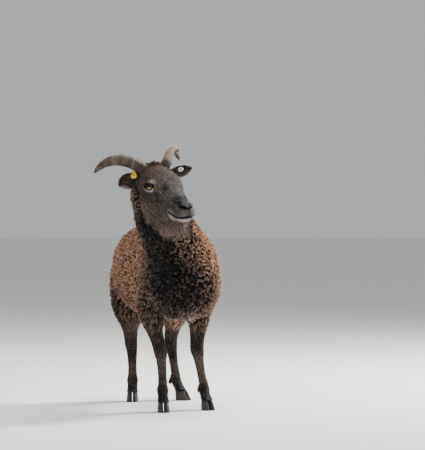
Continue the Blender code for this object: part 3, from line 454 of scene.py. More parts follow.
def egg(centre, across, up, half, rise, drop, sides, fullness=(2.0, 2.0)):
    """One oval section: half is its half width, and it reaches rise above its widest level and drop below."""
    points = []
    for i in range(sides):
        angle = 2 * math.pi * i / sides
        c, s = math.cos(angle), math.sin(angle)
        power = 2 / (fullness[0] if s > 0 else fullness[1])
        height = (rise if s > 0 else drop) * abs(s) ** power * (1 if s > 0 else -1)
        points.append(centre + across * half * abs(c) ** power * (1 if c > 0 else -1) + up * height)
    return points


def loft(sections):
    """A closed shell: a circle at each section, drawn out to its points and bridged to the next."""
    bm = bmesh.new()
    edges = []
    for i, section in enumerate(sections):
        ends = i in (0, len(sections) - 1)
        ring = bmesh.ops.create_circle(bm, cap_ends=ends, segments=len(section), radius=1.0)["verts"]
        for vert, point in zip(ring, section):
            vert.co = point
        edges.append(list({edge for vert in ring for edge in vert.link_edges}))
    for near, far in zip(edges, edges[1:]):
        bmesh.ops.bridge_loops(bm, edges=near + far)
    bmesh.ops.recalc_face_normals(bm, faces=bm.faces)
    return bm


def tall_eggs(rows, fullness):
    """Upright sections: rows hold y, the middle's x, half width, top, widest level and bottom."""
    made = []
    for y, middle, half, top, wide, low in smooth_rows(rows, 4):
        made.append(egg(Vector((middle, y, wide)), X, Z, half, top - wide, wide - low, 32, fullness))
    return loft(made)


def sections_along(rows, sides, steps, turn):
    """Sections across a bent tube: rows hold x, y, z, half width and half depth."""
    rows = smooth_rows(rows, steps)
    centres = [Vector(r[:3]) for r in rows]
    made = []
    for i, row in enumerate(rows):
        along = direction(centres, i)
        across = square_to(Matrix.Rotation(turn * i / (len(rows) - 1), 3, "Z") @ X, along)
        made.append(egg(centres[i], across, along.cross(across), row[3], row[4], row[4], sides))
    return made


def tube(points, radius, sides=8, end=0.35):
    """A round rod along a row of points, thinner at its ends."""
    sections = []
    across = None
    for i, point in enumerate(points):
        along = direction(points, i)
        across = square_to(across, along) if across else along.orthogonal().normalized()
        thick = radius * (end if i in (0, len(points) - 1) else 1.0)
        sections.append(egg(point, across, along.cross(across), thick, thick, thick, sides))
    return loft(sections)


def rod(start, end, steps):
    """Points on a straight line."""
    return [Vector(start).lerp(Vector(end), i / steps) for i in range(steps + 1)]


def ball(place, radii, turn=None, segments=24, rings=16):
    bm = bmesh.new()
    bmesh.ops.create_uvsphere(bm, u_segments=segments, v_segments=rings, radius=1)
    bmesh.ops.scale(bm, vec=radii, verts=bm.verts)
    if turn:
        bmesh.ops.rotate(bm, cent=(0, 0, 0), matrix=turn, verts=bm.verts)
    bmesh.ops.translate(bm, vec=place, verts=bm.verts)
    return bm


def mirrored(vector, side):
    return Vector((vector.x * side, vector.y, vector.z))


def as_object(name, bm):
    """Puts a bmesh in the scene as one object."""
    mesh = bpy.data.meshes.new(name)
    bm.to_mesh(mesh)
    bm.free()
    made = bpy.data.objects.new(name, mesh)
    bpy.context.scene.collection.objects.link(made)
    return made


def merged(shapes):
    """One bmesh that holds several."""
    whole = bmesh.new()
    for bm in shapes:
        mesh = bpy.data.meshes.new("part")
        bm.to_mesh(mesh)
        bm.free()
        whole.from_mesh(mesh)
        bpy.data.meshes.remove(mesh)
    return whole


def applied(thing):
    """Makes an object's modifiers part of its mesh."""
    graph = bpy.context.evaluated_depsgraph_get()
    mesh = bpy.data.meshes.new_from_object(thing.evaluated_get(graph))
    thing.modifiers.clear()
    old = thing.data
    thing.data = mesh
    bpy.data.meshes.remove(old)
    return thing


def grown_together(name, shapes, voxel, smoothing=3):
    """Closed shapes melted into one skin."""
    thing = as_object(name, merged(shapes))
    melt = thing.modifiers.new("melt", "REMESH")
    melt.mode = "VOXEL"
    melt.voxel_size = voxel
    applied(thing)
    soft = thing.modifiers.new("soft", "SMOOTH")
    soft.factor = 0.5
    soft.iterations = smoothing
    return applied(thing)


def boolean(target, cutters, operation):
    """Joins or cuts closed meshes to or from an object, then drops them."""
    for cutter in cutters:
        modifier = target.modifiers.new(operation, "BOOLEAN")
        modifier.operation = operation
        modifier.solver = "MANIFOLD"
        modifier.object = cutter
        applied(target)
        bpy.data.objects.remove(cutter)


def finish(thing, material, slot, replaced=()):
    """Stands a finished piece in the row, gives it its material, hangs it on the root and hides the parts
    that it replaces.
    """
    thing.data.transform(ROW_SHIFT)
    thing.data.materials.clear()
    thing.data.materials.append(material)
    for polygon in thing.data.polygons:
        polygon.use_smooth = True
    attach(thing, "root")
    if replaced:
        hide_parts(*replaced)


# The body's flesh


def leg_frame(leg):
    """How a leg's rows lie: its swung rows, the spot of its foot and the way that its toes point."""
    _, side, rows, ahead, turn_out, lean = leg
    swung = []
    for z, x, y, half, deep in smooth_rows(rows, 4):
        share = max(0.0, 1 - z / LEG_BEND_TOP)
        swung.append((Vector((side * x + lean * min(z, LEG_BEND_TOP), y - ahead * share, z)), half, deep))
    return swung, swung[-1][0], Vector((side * math.sin(turn_out), -math.cos(turn_out), 0))


def leg_shapes(leg):
    swung, ankle, heading = leg_frame(leg)
    made = [egg(place, X, Y, half, deep, deep, 20) for place, half, deep in swung]
    across = Vector((-heading.y, heading.x, 0))
    for z, ahead, half, deep in smooth_rows(FOOT, 3):
        centre = Vector((ankle.x, ankle.y, z)) + heading * ahead
        made.append(egg(centre, across, -heading, half, deep, deep, 20))
    yield loft(made)
    # the two dew claws
    for side in (-1, 1):
        spot = Vector((ankle.x, ankle.y, 0.062)) - heading * 0.0165 + across * side * 0.0085
        yield ball(spot, (0.0048, 0.0048, 0.0077))
    # the tendon behind the shin
    low = Vector((ankle.x, ankle.y, 0.085)) - heading * 0.010
    high = next(place for place, _, _ in reversed(swung) if place.z > 0.165) - heading * 0.011
    yield tube([low, low.lerp(high, 0.5), high], 0.0052)


def neck_shape(first, last, drawn_in):
    """The neck between two of its rows, one of them drawn in so that it dives into what it meets."""
    rows = [list(r) for r in NECK[first:last]]
    rows[drawn_in][3] *= 0.86
    rows[drawn_in][4] *= 0.86
    return loft(sections_along(rows, 28, 4, HEAD_TURN))


def head_shape():
    return tall_eggs([(y, 0.0, *rest) for y, *rest in HEAD], (2.0, 1.8))


def eye_turn(side):
    """Turns z to the way an eye looks, x along its lids and y up."""
    look = mirrored(EYE_LOOK, side)
    along = Z.cross(look).normalized()
    along.rotate(Quaternion(look, LID_SLANT * side))
    return Matrix((along, look.cross(along), look)).transposed()


def lid_outline(side, grow, count=28, reach=EYE_RADIUS + LID_THICK * 0.6):
    """The almond edge of the lids, on the eye's own ball."""
    turn = eye_turn(side)
    made = []
    for i in range(count):
        angle = 2 * math.pi * i / count
        x = (LID_HALF_LENGTH + grow) * math.cos(angle)
        y = (LID_HALF_HEIGHT + grow) * math.sin(angle) * abs(math.sin(angle)) ** 0.35
        y *= 0.82 if y > 0 else 1.08
        x *= 1.20 if x * side > 0 else 1.0
        flat = Vector((x, y, 0))
        flat.z = math.sqrt(max(reach**2 - flat.length_squared, (0.35 * reach) ** 2))
        made.append(mirrored(EYE_PLACE, side) + turn @ flat)
    return made


def lid_opening(side):
    """What is cut from the lids so that the eye shows: down to the ball, and shallow at the corners."""
    turn = eye_turn(side)
    centre = mirrored(EYE_PLACE, side)
    inner = lid_outline(side, 0.0, 40, EYE_RADIUS - 0.0006)
    flats = [turn.transposed() @ (point - centre) for point in inner]
    return loft([inner, [centre + turn @ Vector((p.x * 1.06, p.y * 1.10, 0.030)) for p in flats]])


def mouth_points(skin, lift, sunk, count=25):
    """The line of the mouth on the skin of the head, from one corner round the front to the other."""
    made = []
    for i in range(count):
        angle = MOUTH_TURN * (2 * i / (count - 1) - 1)
        share = abs(angle) / MOUTH_TURN
        aim = Vector((math.sin(angle) * 0.62, -math.cos(angle), 0)).normalized()
        level = MOUTH_LEVEL - MOUTH_DIP * math.sin(math.pi * share) + MOUTH_RISE * share**3
        start = Vector((0, MUZZLE_HEART.y, level + lift * (1 - share**3)))
        made.append(skin.ray_cast(start, aim)[0] - aim * (sunk + 0.004 * share**4))
    return made


def nostril_ball(side, half, shift=Vector()):
    """A flat ball along a nostril's slit."""
    runs = mirrored(NOSTRIL_RUNS, side)
    opens = square_to(mirrored(NOSTRIL_OPENS, side), runs)
    turn = Matrix((runs, opens, runs.cross(opens))).transposed()
    return ball(mirrored(NOSTRIL_PLACE + shift, side), half, turn)


def ear_axes(side):
    """Made for the left half of the head: root, root to tip, the way that the ear faces and up its cup."""
    whole = EAR_TIPS[side] - EAR_ROOT
    reach = whole.normalized()
    faces = square_to(EAR_FACES, reach)
    return EAR_ROOT, whole, faces, faces.cross(reach)


def ear_point(side, share, turn, depth):
    """A place in an ear's wall: the share of the way out, -1 to 1 up round the cup, and how far behind."""
    root, whole, faces, up = ear_axes(side)
    breadth = 0.62 + 0.38 * math.sin(math.pi * min(share / 0.9, 1.0)) ** 0.8
    breadth *= 1.0 if share < 0.66 else max(0.20, math.cos((share - 0.66) / 0.34 * math.pi / 2) ** 0.55)
    roll = math.radians(118 - 62 * min(1.0, share * 1.8))
    radius = EAR_HALF_UP * breadth / math.sin(min(roll, math.pi / 2))
    centre = root + whole * share + faces * (radius * 0.7 - 0.008 * math.sin(math.pi * share))
    height = (radius + depth) * math.sin(roll * turn) * (1.0 if turn > 0 else EAR_HALF_DOWN / EAR_HALF_UP)
    return mirrored(centre - faces * (radius + depth) * math.cos(roll * turn) + up * height, side)


def ear_section(side, share, points=13):
    """One crescent section of the cupped ear, rolled at its root, open and broad beyond it."""
    half = EAR_THICK * (1.25 - 0.5 * share) / 2
    turns = [2 * i / (points - 1) - 1 for i in range(points)]
    outer = [ear_point(side, share, turn, half) for turn in turns]
    return outer + [ear_point(side, share, -turn, -half) for turn in turns]


def ear_shapes(side):
    """The ear's cup, and the stem that joins it to the head."""
    yield loft([ear_section(side, 0.04 + 0.96 * i / 24) for i in range(25)])
    ring = ear_section(side, 0.15)
    middle = sum(ring, Vector()) / len(ring)
    _, whole, faces, up = (mirrored(v, side) for v in ear_axes(side))
    stem = []
    for depth, half in ((-0.024, 0.0130), (-0.012, 0.0165), (0.0, 0.0185)):
        stem.append(egg(middle + whole.normalized() * depth, faces, up, half * 0.8, half, half, 20))
    yield loft(stem)


def horn_path(side, steps):
    """The middle of a horn, its direction, its share of the length and its half width and depth."""
    rows = smooth_rows(HORNS[side], steps)
    centres = [Vector(row[:3]) for row in rows]
    lengths = [0.0]
    for near, far in zip(centres, centres[1:]):
        lengths.append(lengths[-1] + (far - near).length)
    for i, row in enumerate(rows):
        yield centres[i], direction(centres, i), lengths[i] / lengths[-1], row[3], row[4]


def horn_ring(side, place, along, wide, deep, sides):
    across = square_to(HORN_AXIS, along)
    ring = egg(place, across, along.cross(across), deep, wide, wide, sides, HORN_FULLNESS)
    return [mirrored(p, side) for p in ring]


def horn_boss(side):
    """The swelling of the skull that a horn grows from."""
    rows = [row for row in horn_path(side, 8) if row[2] < 0.06]
    place, along, _, wide, deep = rows[0]
    sections = [horn_ring(side, place - along * 0.012, along, wide, deep, 20)]
    for place, along, _, wide, deep in rows:
        sections.append(horn_ring(side, place, along, wide * 0.98, deep * 0.98, 20))
    return loft(sections)


# Numbers for many points at once


def unit(vectors):
    return vectors / np.maximum(np.linalg.norm(vectors, axis=-1, keepdims=True), 1e-12)


def ramp(values, low, high):
    t = np.clip((values - low) / (high - low), 0, 1)
    return t * t * (3 - 2 * t)


def bell(values, wide):
    """1 at nought, falling softly to nothing."""
    return np.exp(-((values / wide) ** 2))


def blob(points, centre, reach):
    """1 at a centre, falling softly to nothing."""
    gap = (points - np.array(centre)) / np.array(reach)
    return np.exp(-(gap**2).sum(1))


def head_local(points):
    return (points - np.array(HEAD_PLACE)) @ np.array(HEAD_FRAME.to_3x3())


def folded(local):
    """The right half of the head laid on its left half."""
    return local * (np.sign(local[:, :1]) * (1, 0, 0) + (0, 1, 1))


def tree_of(spots):
    """Finds the nearest of many spots."""
    tree = KDTree(len(spots))
    for i, spot in enumerate(spots):
        tree.insert(spot, i)
    tree.balance()
    return tree


def line_gap(points, line):
    """Distance from points to a row of points that stand close together."""
    tree = tree_of(line)
    return np.array([tree.find(p)[2] for p in points])


def lid_gap(mirror):
    """Distance from the edge of the lids, and each point's place along them and above their middle."""
    flat = (mirror - np.array(EYE_PLACE)) @ np.array(eye_turn(1))
    return line_gap(mirror, lid_outline(1, 0.0, 60)), flat[:, 0], flat[:, 1]


def mouth_line(drop):
    """The line of the mouth on the animal's left half of the head, moved down by a drop."""
    line = mouth_points(BVHTree.FromBMesh(head_shape()), 0.0, 0.0, 61)
    return [p - Z * drop for p in line if p.x > -0.001]


def ear_arrays(side):
    return [np.array(mirrored(v, side)) for v in ear_axes(side)]


def ear_share(local, side):
    """How far out along an ear points lie, and how far from its middle line."""
    root, whole, _, _ = ear_arrays(side)
    share = (local - root) @ whole / (whole @ whole)
    return share, np.linalg.norm(local - root - share[:, None] * whole, axis=1)


def is_ear(part):
    return (part == EAR_RIGHT) | (part == EAR_LEFT)


def on_rows(rows, levels, column):
    """One column of rows, read off at the levels."""
    return np.interp(-levels, [-row[2] for row in rows], [row[column] for row in rows])


def leg_rows(leg):
    return [tuple(place) for place, _, _ in leg_frame(leg)[0]]


def throat_share(points, part):
    """The long straight hair under the jaw and down the throat, narrower towards its lower end."""
    local = head_local(points)
    heart = np.stack([on_rows(NECK[::-1], points[:, 2], i) for i in (0, 1)], 1)
    spoke = unit(points[:, :2] - heart)
    turn = np.degrees(np.arccos(np.clip(spoke @ (math.sin(THROAT_TURN), -math.cos(THROAT_TURN)), -1, 1)))
    end = 0.528 + 0.085 * (turn / 62) ** 2 + 0.008 * np.sin(turn / 5)
    neck = ramp(-turn, -72, -50) * ramp(points[:, 2], end, end + 0.030) * (part == NECK_PART)
    jaw = ramp(-local[:, 2], 0.105, 0.140) * (1 - ramp(-local[:, 1], 0.130, 0.165)) * ramp(-turn, -100, -60)
    return np.maximum(neck, jaw * (part == HEAD_PART))


def body_part(points):
    """Which part of the skin each point belongs to."""
    part = np.full(len(points), TRUNK_PART)
    x, y, z = points.T
    for i, leg in enumerate(LEGS):
        side = leg[1]
        front = leg[0].startswith("front")
        y_slope, middle, level, x_slope = LEG_TOPS[front]
        top = np.clip(level + x_slope * (side * x - 0.078) + y_slope * (y - middle), 0.12, 0.46)
        near = y < 0.075 if front else y > 0.135
        part[(z < top) & near & (side * (x + 0.014) > 0)] = FIRST_LEG + i
    part[(y > TAIL_CUT_Y) & (z < 0.53)] = TAIL_PART
    for (spot, way), name in ((NECK_CUT, NECK_PART), (HEAD_CUT, HEAD_PART)):
        part[(points - np.array(spot)) @ np.array(way) > 0] = name
    local = head_local(points)
    for side, name in EARS:
        share, gap = ear_share(local, side)
        part[(share > 0.12) & (gap < 0.048) & (np.abs(local[:, 0]) > 0.060)] = name
    return part


def unwrap(points, part):
    """The skin's own unwrap: each part is a tube laid flat, round its middle and along its length."""
    local = head_local(points)
    spot = np.zeros((len(points), 2))
    for name in range(len(FIELDS)):
        at = part == name
        p, q = points[at], local[at]
        if name == TRUNK_PART:
            across, rise, along = p[:, 0] + 0.012, p[:, 2] - 0.42, (p[:, 1] + 0.28) / 0.70
        elif name == TAIL_PART:
            across, rise, along = p[:, 0] + 0.012, p[:, 1] - 0.380, (0.55 - p[:, 2]) / 0.20
        elif name == NECK_PART:
            across, rise = (p[:, i] - on_rows(NECK[::-1], p[:, 2], i) for i in (0, 1))
            rise, along = -rise, (p[:, 2] - 0.45) / 0.32
        elif name == HEAD_PART:
            across, rise, along = q[:, 0], q[:, 2] + 0.070, (q[:, 1] + 0.235) / 0.33
        elif name in (EAR_RIGHT, EAR_LEFT):
            side = -1 if name == EAR_RIGHT else 1
            root, _, faces, up = ear_arrays(side)
            across, rise, along = (q - root) @ up, (q - root) @ faces + 0.004, ear_share(q, side)[0]
        else:
            rows = leg_rows(LEGS[name - FIRST_LEG])
            across, rise = (p[:, i] - on_rows(rows, p[:, 2], i) for i in (0, 1))
            along = p[:, 2] / 0.46
        spot[at] = np.stack((np.arctan2(across, -rise) / (2 * np.pi) + 0.5, np.clip(along, 0, 1)), 1)
    field = FIELDS[part]
    return field[:, :2] + field[:, 2:] * spot


def wool_depth(points, part):
    """How much of the trunk's coat depth grows at each point: none on the face and the lower legs."""
    local = head_local(points)
    depth = np.where(part == NECK_PART, NECK_COAT, 1.0)
    depth = np.where((points[:, 2] > 0.60) & (points[:, 1] < -0.03), np.minimum(depth, NECK_COAT), depth)
    nape = ramp(local[:, 1], 0.008, 0.050) * ramp(-local[:, 2], 0.0, 0.03)
    depth = np.where(part == HEAD_PART, NECK_COAT * nape, depth)
    for side, _ in SIDES:
        gap = np.linalg.norm(local - np.array(mirrored(EAR_ROOT, side)), axis=1)
        depth = depth * np.where(part == HEAD_PART, 1.0, ramp(gap, 0.020, 0.052))
    depth = depth * (1 - ramp(throat_share(points, part), 0.2, 0.8))
    low = np.where(points[:, 1] < 0.12, 0.238, 0.222)
    depth = depth * ramp(points[:, 2], low, low + 0.105)
    depth = np.where(part == TAIL_PART, 0.75, depth)
    return np.where(is_ear(part), 0.0, depth)


def toward(tone, goal, share):
    """Tones moved a share of the way to another tone."""
    return tone + (np.array(goal)[:, None] - tone) * share


def markings_and_painted_highlights(points, part):
    """How pale and how warm the coat is at each point, from 0 to 1, with a few painted highlights among its
    real marks. Skin, wool and hair all take them.
    """
    local = head_local(points)
    mirror = folded(local)
    y, z = points[:, 1], points[:, 2]
    on_head = (part == HEAD_PART) | is_ear(part)
    tone = np.tile(np.array(COAT_TONE)[:, None], len(points))
    for centre, reach, *change in BODY_MARKS_AND_HIGHLIGHTS:
        tone += np.outer(change, blob(points, centre, reach) * ((part < FIRST_LEG) | (change[0] < 0)))
    tone += np.outer((0.10, -0.25), ramp(0.33 - z, 0.0, 0.05) * (part == TRUNK_PART))
    tone = toward(tone, LEG_TONE, ramp(0.27 - z, 0.0, 0.05) * (part >= FIRST_LEG))
    foot = ramp(0.085 - z, 0.0, 0.03)
    for i, leg in enumerate(LEGS):
        knee = 0.21 if leg[0].startswith("front") else 0.16
        shin = ramp(on_rows(leg_rows(leg), z, 1) - y, 0.0, 0.012) * ramp(knee - z, 0.02, 0.05) * (z > 0.09)
        paler = 0.10 * shin - 0.14 * bell(z - knee - 0.02, 0.025) - 0.16 * foot
        tone += np.stack((paler, -0.30 * foot)) * (part == FIRST_LEG + i)
    throat = throat_share(points, part)
    tone = np.where(on_head, np.array(HEAD_TONE)[:, None], toward(tone, THROAT_TONE, throat))
    tone[0] += 0.22 * throat * ramp(0.60 - z, 0.0, 0.04)
    for centre, reach, *change in FACE_MARKS_AND_HIGHLIGHTS:
        tone += np.outer(change, blob(mirror, centre, reach) * on_head)
    near = np.flatnonzero(part == HEAD_PART)
    face = mirror[near]
    gap, along, over = lid_gap(face)
    ring = bell(gap - 0.0062, 0.0034) * np.where(over < 0, 1.0, 0.9 * ramp(-along, 0.004, 0.014))
    tone[:, near] += np.outer((0.90, -0.16), ring)
    tone[0, near] += 0.15 * bell(line_gap(face, rod(*CREST_STREAK)), 0.0026)
    lip = np.exp(-((line_gap(face, mouth_line(0.0140)) / 0.0125) ** 3)) * ramp(-face[:, 1], 0.140, 0.160)
    lip *= 0.72 + 0.28 * np.cos((face[:, 1] + 0.163) * 110)
    tone[:, near] = toward(tone[:, near], LIP_TONE, lip)
    for side, name in EARS:
        root, _, faces, up = ear_arrays(side)
        rim = ramp((root - local) @ up, 0.0265, 0.0315) + ramp(ear_share(local, side)[0], 0.92, 1.0)
        rim = np.clip(rim, 0, 1)
        inside = ramp((local - root) @ faces, -0.006, 0.004)
        ear = np.stack((0.10 - 0.06 * inside + 0.50 * rim, 0.45 - 0.10 * inside - 0.15 * rim))
        tone = np.where(part == name, ear, tone)
    fleece = np.clip(wool_depth(points, part) / 0.5, 0, 1) * on_head
    tone = toward(tone, POLL_TONE, fleece * np.array((0.7, 1.0))[:, None])
    return np.clip(tone[0], 0.02, 1), np.clip(tone[1], 0, 1)


def lie_of_coat(points, normals, part):
    """The way the hair lies at each point, along the skin."""
    local = head_local(points)
    turn = np.array(HEAD_FRAME.to_3x3())
    lie = np.tile((0.0, 0.45, -0.9), (len(points), 1))
    lie[part >= FIRST_LEG] = (0.0, 0.12, -1.0)
    cheek = (ramp(-local[:, 2], 0.06, 0.12) * ramp(local[:, 1], -0.15, -0.06))[:, None]
    face = np.array((0.0, -0.95, -0.25)) * (1 - cheek) + np.array((0.0, 0.7, -0.7)) * cheek
    lie[part == HEAD_PART] = face[part == HEAD_PART] @ turn.T
    for side, name in EARS:
        root, whole, _, up = ear_arrays(side)
        across = ((local - root) @ up)[:, None]
        fan = unit(whole)[None, :] + up[None, :] * np.sign(across) * ramp(np.abs(across), 0.004, 0.02) * 1.1
        lie[part == name] = fan[part == name] @ turn.T
    return unit(lie - normals * (lie * normals).sum(1, keepdims=True))


def mesh_points(thing, kind="co"):
    found = np.zeros(len(thing.data.vertices) * 3)
    thing.data.vertices.foreach_get(kind, found)
    return found.reshape(-1, 3)


def note(mesh, name, values):
    """Writes numbers on a mesh's points: one each as a plain value, four each as a colour."""
    kind, field = ("FLOAT", "value") if values.ndim == 1 else ("FLOAT_COLOR", "color")
    attribute = mesh.attributes.new(name, kind, "POINT")
    attribute.data.foreach_set(field, values.astype(np.float32).ravel())


# Tufts


def triangles(mesh):
    """A mesh's faces cut into triangles, in one order in each run, whatever order its booleans gave them."""
    faces = mesh.polygons
    loops, starts, totals = (np.zeros(len(rows), np.int64) for rows in (mesh.loops, faces, faces))
    mesh.loops.foreach_get("vertex_index", loops)
    faces.foreach_get("loop_start", starts)
    faces.foreach_get("loop_total", totals)
    made = []
    for sides in np.unique(totals):
        ring = loops[starts[totals == sides][:, None] + np.arange(sides)]
        ring = np.take_along_axis(ring, (ring.argmin(1)[:, None] + np.arange(sides)) % sides, 1)
        made += [ring[:, [0, i, i + 1]] for i in range(1, sides - 1)]
    made = np.concatenate(made)
    return made[np.lexsort(made.T)]


def roots_on(skin, spacing, wanted, rng):
    """Places on the skin about one spacing apart, and its normals, where wanted is above a random draw."""
    co, corners = mesh_points(skin), triangles(skin.data)
    a, b, c = (co[corners[:, i]] for i in range(3))
    facing = np.cross(b - a, c - a)
    normal = np.zeros_like(co)
    for i in range(3):
        np.add.at(normal, corners[:, i], facing)
    normal = unit(normal)
    area = np.linalg.norm(facing, axis=1) / 2
    count = int(area.sum() / spacing**2 * 4)
    picks = rng.choice(len(area), count, p=area / area.sum())
    u, v = rng.random((2, count, 1))
    flip = u + v > 1
    u, v = np.where(flip, 1 - u, u), np.where(flip, 1 - v, v)
    weights = np.concatenate((1 - u - v, u, v), 1)[:, :, None]
    places = (co[corners[picks]] * weights).sum(1)
    normals = unit((normal[corners[picks]] * weights).sum(1))
    # one place is kept in each cell of a grid for each of the six ways that the skin can face
    cells = np.floor(places / spacing + rng.random(3)).astype(np.int64)
    widest = np.abs(normals).argmax(1)
    keys = (cells[:, 0] * CELL_STRIDE + cells[:, 1]) * CELL_STRIDE + cells[:, 2]
    keys = keys * 6 + widest * 2 + (normals[np.arange(count), widest] > 0)
    _, first = np.unique(keys, return_index=True)
    places, normals = places[first], normals[first]
    kept = rng.random(len(places)) < wanted(places)
    return places[kept], normals[kept]


def tufts(name, roots, lines, widths, flat, marks):
    """One mesh of many tapered tufts: their spots in the unwrap, middle lines, half widths and marks."""
    count, steps = lines.shape[:2]
    ahead = np.concatenate((lines[:, 1:], lines[:, -1:]), 1)
    behind = np.concatenate((lines[:, :1], lines[:, :-1]), 1)
    along = unit(ahead - behind)
    across = unit(np.cross(along, flat[:, None]))
    face = np.cross(across, along) * TUFT_FLATNESS
    rings = []
    for i in range(TUFT_SIDES):
        angle = 2 * math.pi * i / TUFT_SIDES
        rings.append(lines + (across * math.cos(angle) + face * math.sin(angle)) * widths[:, :, None])
    rings = np.stack(rings, 2)[:, :-1].reshape(count, -1, 3)
    verts = np.concatenate((rings, lines[:, -1:]), 1)
    each = verts.shape[1]
    faces = [(0, 2, 1)]
    for near in range(0, each - 1, TUFT_SIDES):
        for i in range(TUFT_SIDES):
            a, b = near + i, near + (i + 1) % TUFT_SIDES
            if near < each - 1 - TUFT_SIDES:
                faces += [(a, b, b + TUFT_SIDES), (a, b + TUFT_SIDES, a + TUFT_SIDES)]
            else:
                faces.append((a, b, each - 1))
    faces = np.array(faces)
    whole = (faces[None] + np.arange(count)[:, None, None] * each).reshape(-1, 3)
    mesh = bpy.data.meshes.new(name)
    mesh.vertices.add(count * each)
    mesh.vertices.foreach_set("co", verts.astype(np.float32).ravel())
    mesh.loops.add(whole.size)
    mesh.loops.foreach_set("vertex_index", whole.astype(np.int32).ravel())
    mesh.polygons.add(len(whole))
    mesh.polygons.foreach_set("loop_start", np.arange(0, whole.size, 3, dtype=np.int32))
    mesh.update(calc_edges=True)
    share = np.append(np.repeat(np.linspace(0, 1, steps)[:-1], TUFT_SIDES), 1.0)
    around = np.append(np.tile(np.arange(TUFT_SIDES) / TUFT_SIDES, steps - 1), 0.5)
    spot = np.stack((around - 0.5, share - 0.5), 1)[faces.ravel()] * TUFT_PATCH
    layer = mesh.uv_layers.new(name="OFBake")
    layer.uv.foreach_set("vector", (roots[:, None] + spot).astype(np.float32).ravel())
    pale, warm, lot = (np.repeat(mark[:, None], each, 1) for mark in marks)
    note(mesh, "coat_marks_and_shade", np.stack((pale, warm, np.tile(share, (count, 1)), lot), 2))
    made = bpy.data.objects.new(name, mesh)
    bpy.context.scene.collection.objects.link(made)
    return made


def grown(prefix, places, lot, part, shape, material, slot):
    """Grows tufts at the places and shares them among as many pieces as the limit of triangles needs."""
    each = 2 * TUFT_SIDES * (shape[0].shape[1] - 2) + TUFT_SIDES + 1
    batches = max(1, math.ceil(len(places) * each / PIECE_LIMIT))
    order = np.argsort(places[:, 1], kind="stable")
    marks = (*markings_and_painted_highlights(places, part), lot)
    spots = unwrap(places, part)
    for i, pick in enumerate(np.array_split(order, batches)):
        name = prefix if batches == 1 else f"{prefix}_{i + 1}"
        lines, widths, flat = (values[pick] for values in shape)
        finish(tufts(name, spots[pick], lines, widths, flat, [mark[pick] for mark in marks]), material, slot)


def curl_lines(places, out, lie, rise, reach, radius, turns, rng, steps):
    """Middle lines of curled locks: up from the skin, over the way they lie, and round at the tip."""
    count = len(places)
    t = np.linspace(0, 1, steps)[None, :, None]
    side = unit(np.cross(lie, out))
    phase = rng.random((count, 1, 1)) * 2 * np.pi
    hand = np.where(rng.random((count, 1, 1)) < 0.5, -1, 1)
    height = rise[:, None, None] * np.sin(t * np.pi / 2) ** 0.8
    line = places[:, None] + out[:, None] * (height - 0.002) + lie[:, None] * reach[:, None, None] * t**1.6
    angle = phase + hand * 2 * np.pi * turns[:, None, None] * t
    swell = radius[:, None, None] * np.clip((t - 0.075) / 0.525, 0, 1)
    return line + (lie[:, None] * np.cos(angle) + side[:, None] * np.sin(angle)) * swell


def hair_lines(places, out, lie, length, lift, rng, steps):
    """Middle lines of short tufts that lie along the skin and stand off it a little at the tip."""
    t = np.linspace(0, 1, steps)[None, :, None]
    side = np.cross(lie, out)
    sway = rng.normal(0, 0.22, (len(places), 1, 1))
    way = unit(lie[:, None] + side[:, None] * sway)
    rise = lift[:, None, None] * np.sin(t * np.pi / 2)
    return places[:, None] + way * length[:, None, None] * t + out[:, None] * (rise - 0.0006 * (1 - t))


# Materials


def add(tree, kind, inputs=None, out=0, **settings):
    """Adds a node and gives one of its outputs. Inputs are values or the outputs that feed them."""
    node = tree.nodes.new("ShaderNode" + kind)
    for name, value in settings.items():
        setattr(node, name, value)
    for name, value in (inputs or {}).items():
        if isinstance(value, bpy.types.NodeSocket):
            tree.links.new(value, node.inputs[name])
        else:
            node.inputs[name].default_value = value
    return node.outputs[out] if node.outputs else None


def new_material(name):
    """A material without nodes, its tree and the piece's own coordinates, which carry every pattern."""
    made = bpy.data.materials.new(name)
    made.use_nodes = True
    made.node_tree.nodes.clear()
    return made, made.node_tree, add(made.node_tree, "TexCoord", out="Object")


def surface(tree, colour, rough, **sockets):
    """The shader of a material and its output."""
    sockets = {name.replace("_", " "): value for name, value in sockets.items()}
    shader = add(tree, "BsdfPrincipled", {"Base Color": colour, "Roughness": rough, **sockets})
    add(tree, "OutputMaterial", {"Surface": shader})


def rgba(value):
    return (*value, 1.0)


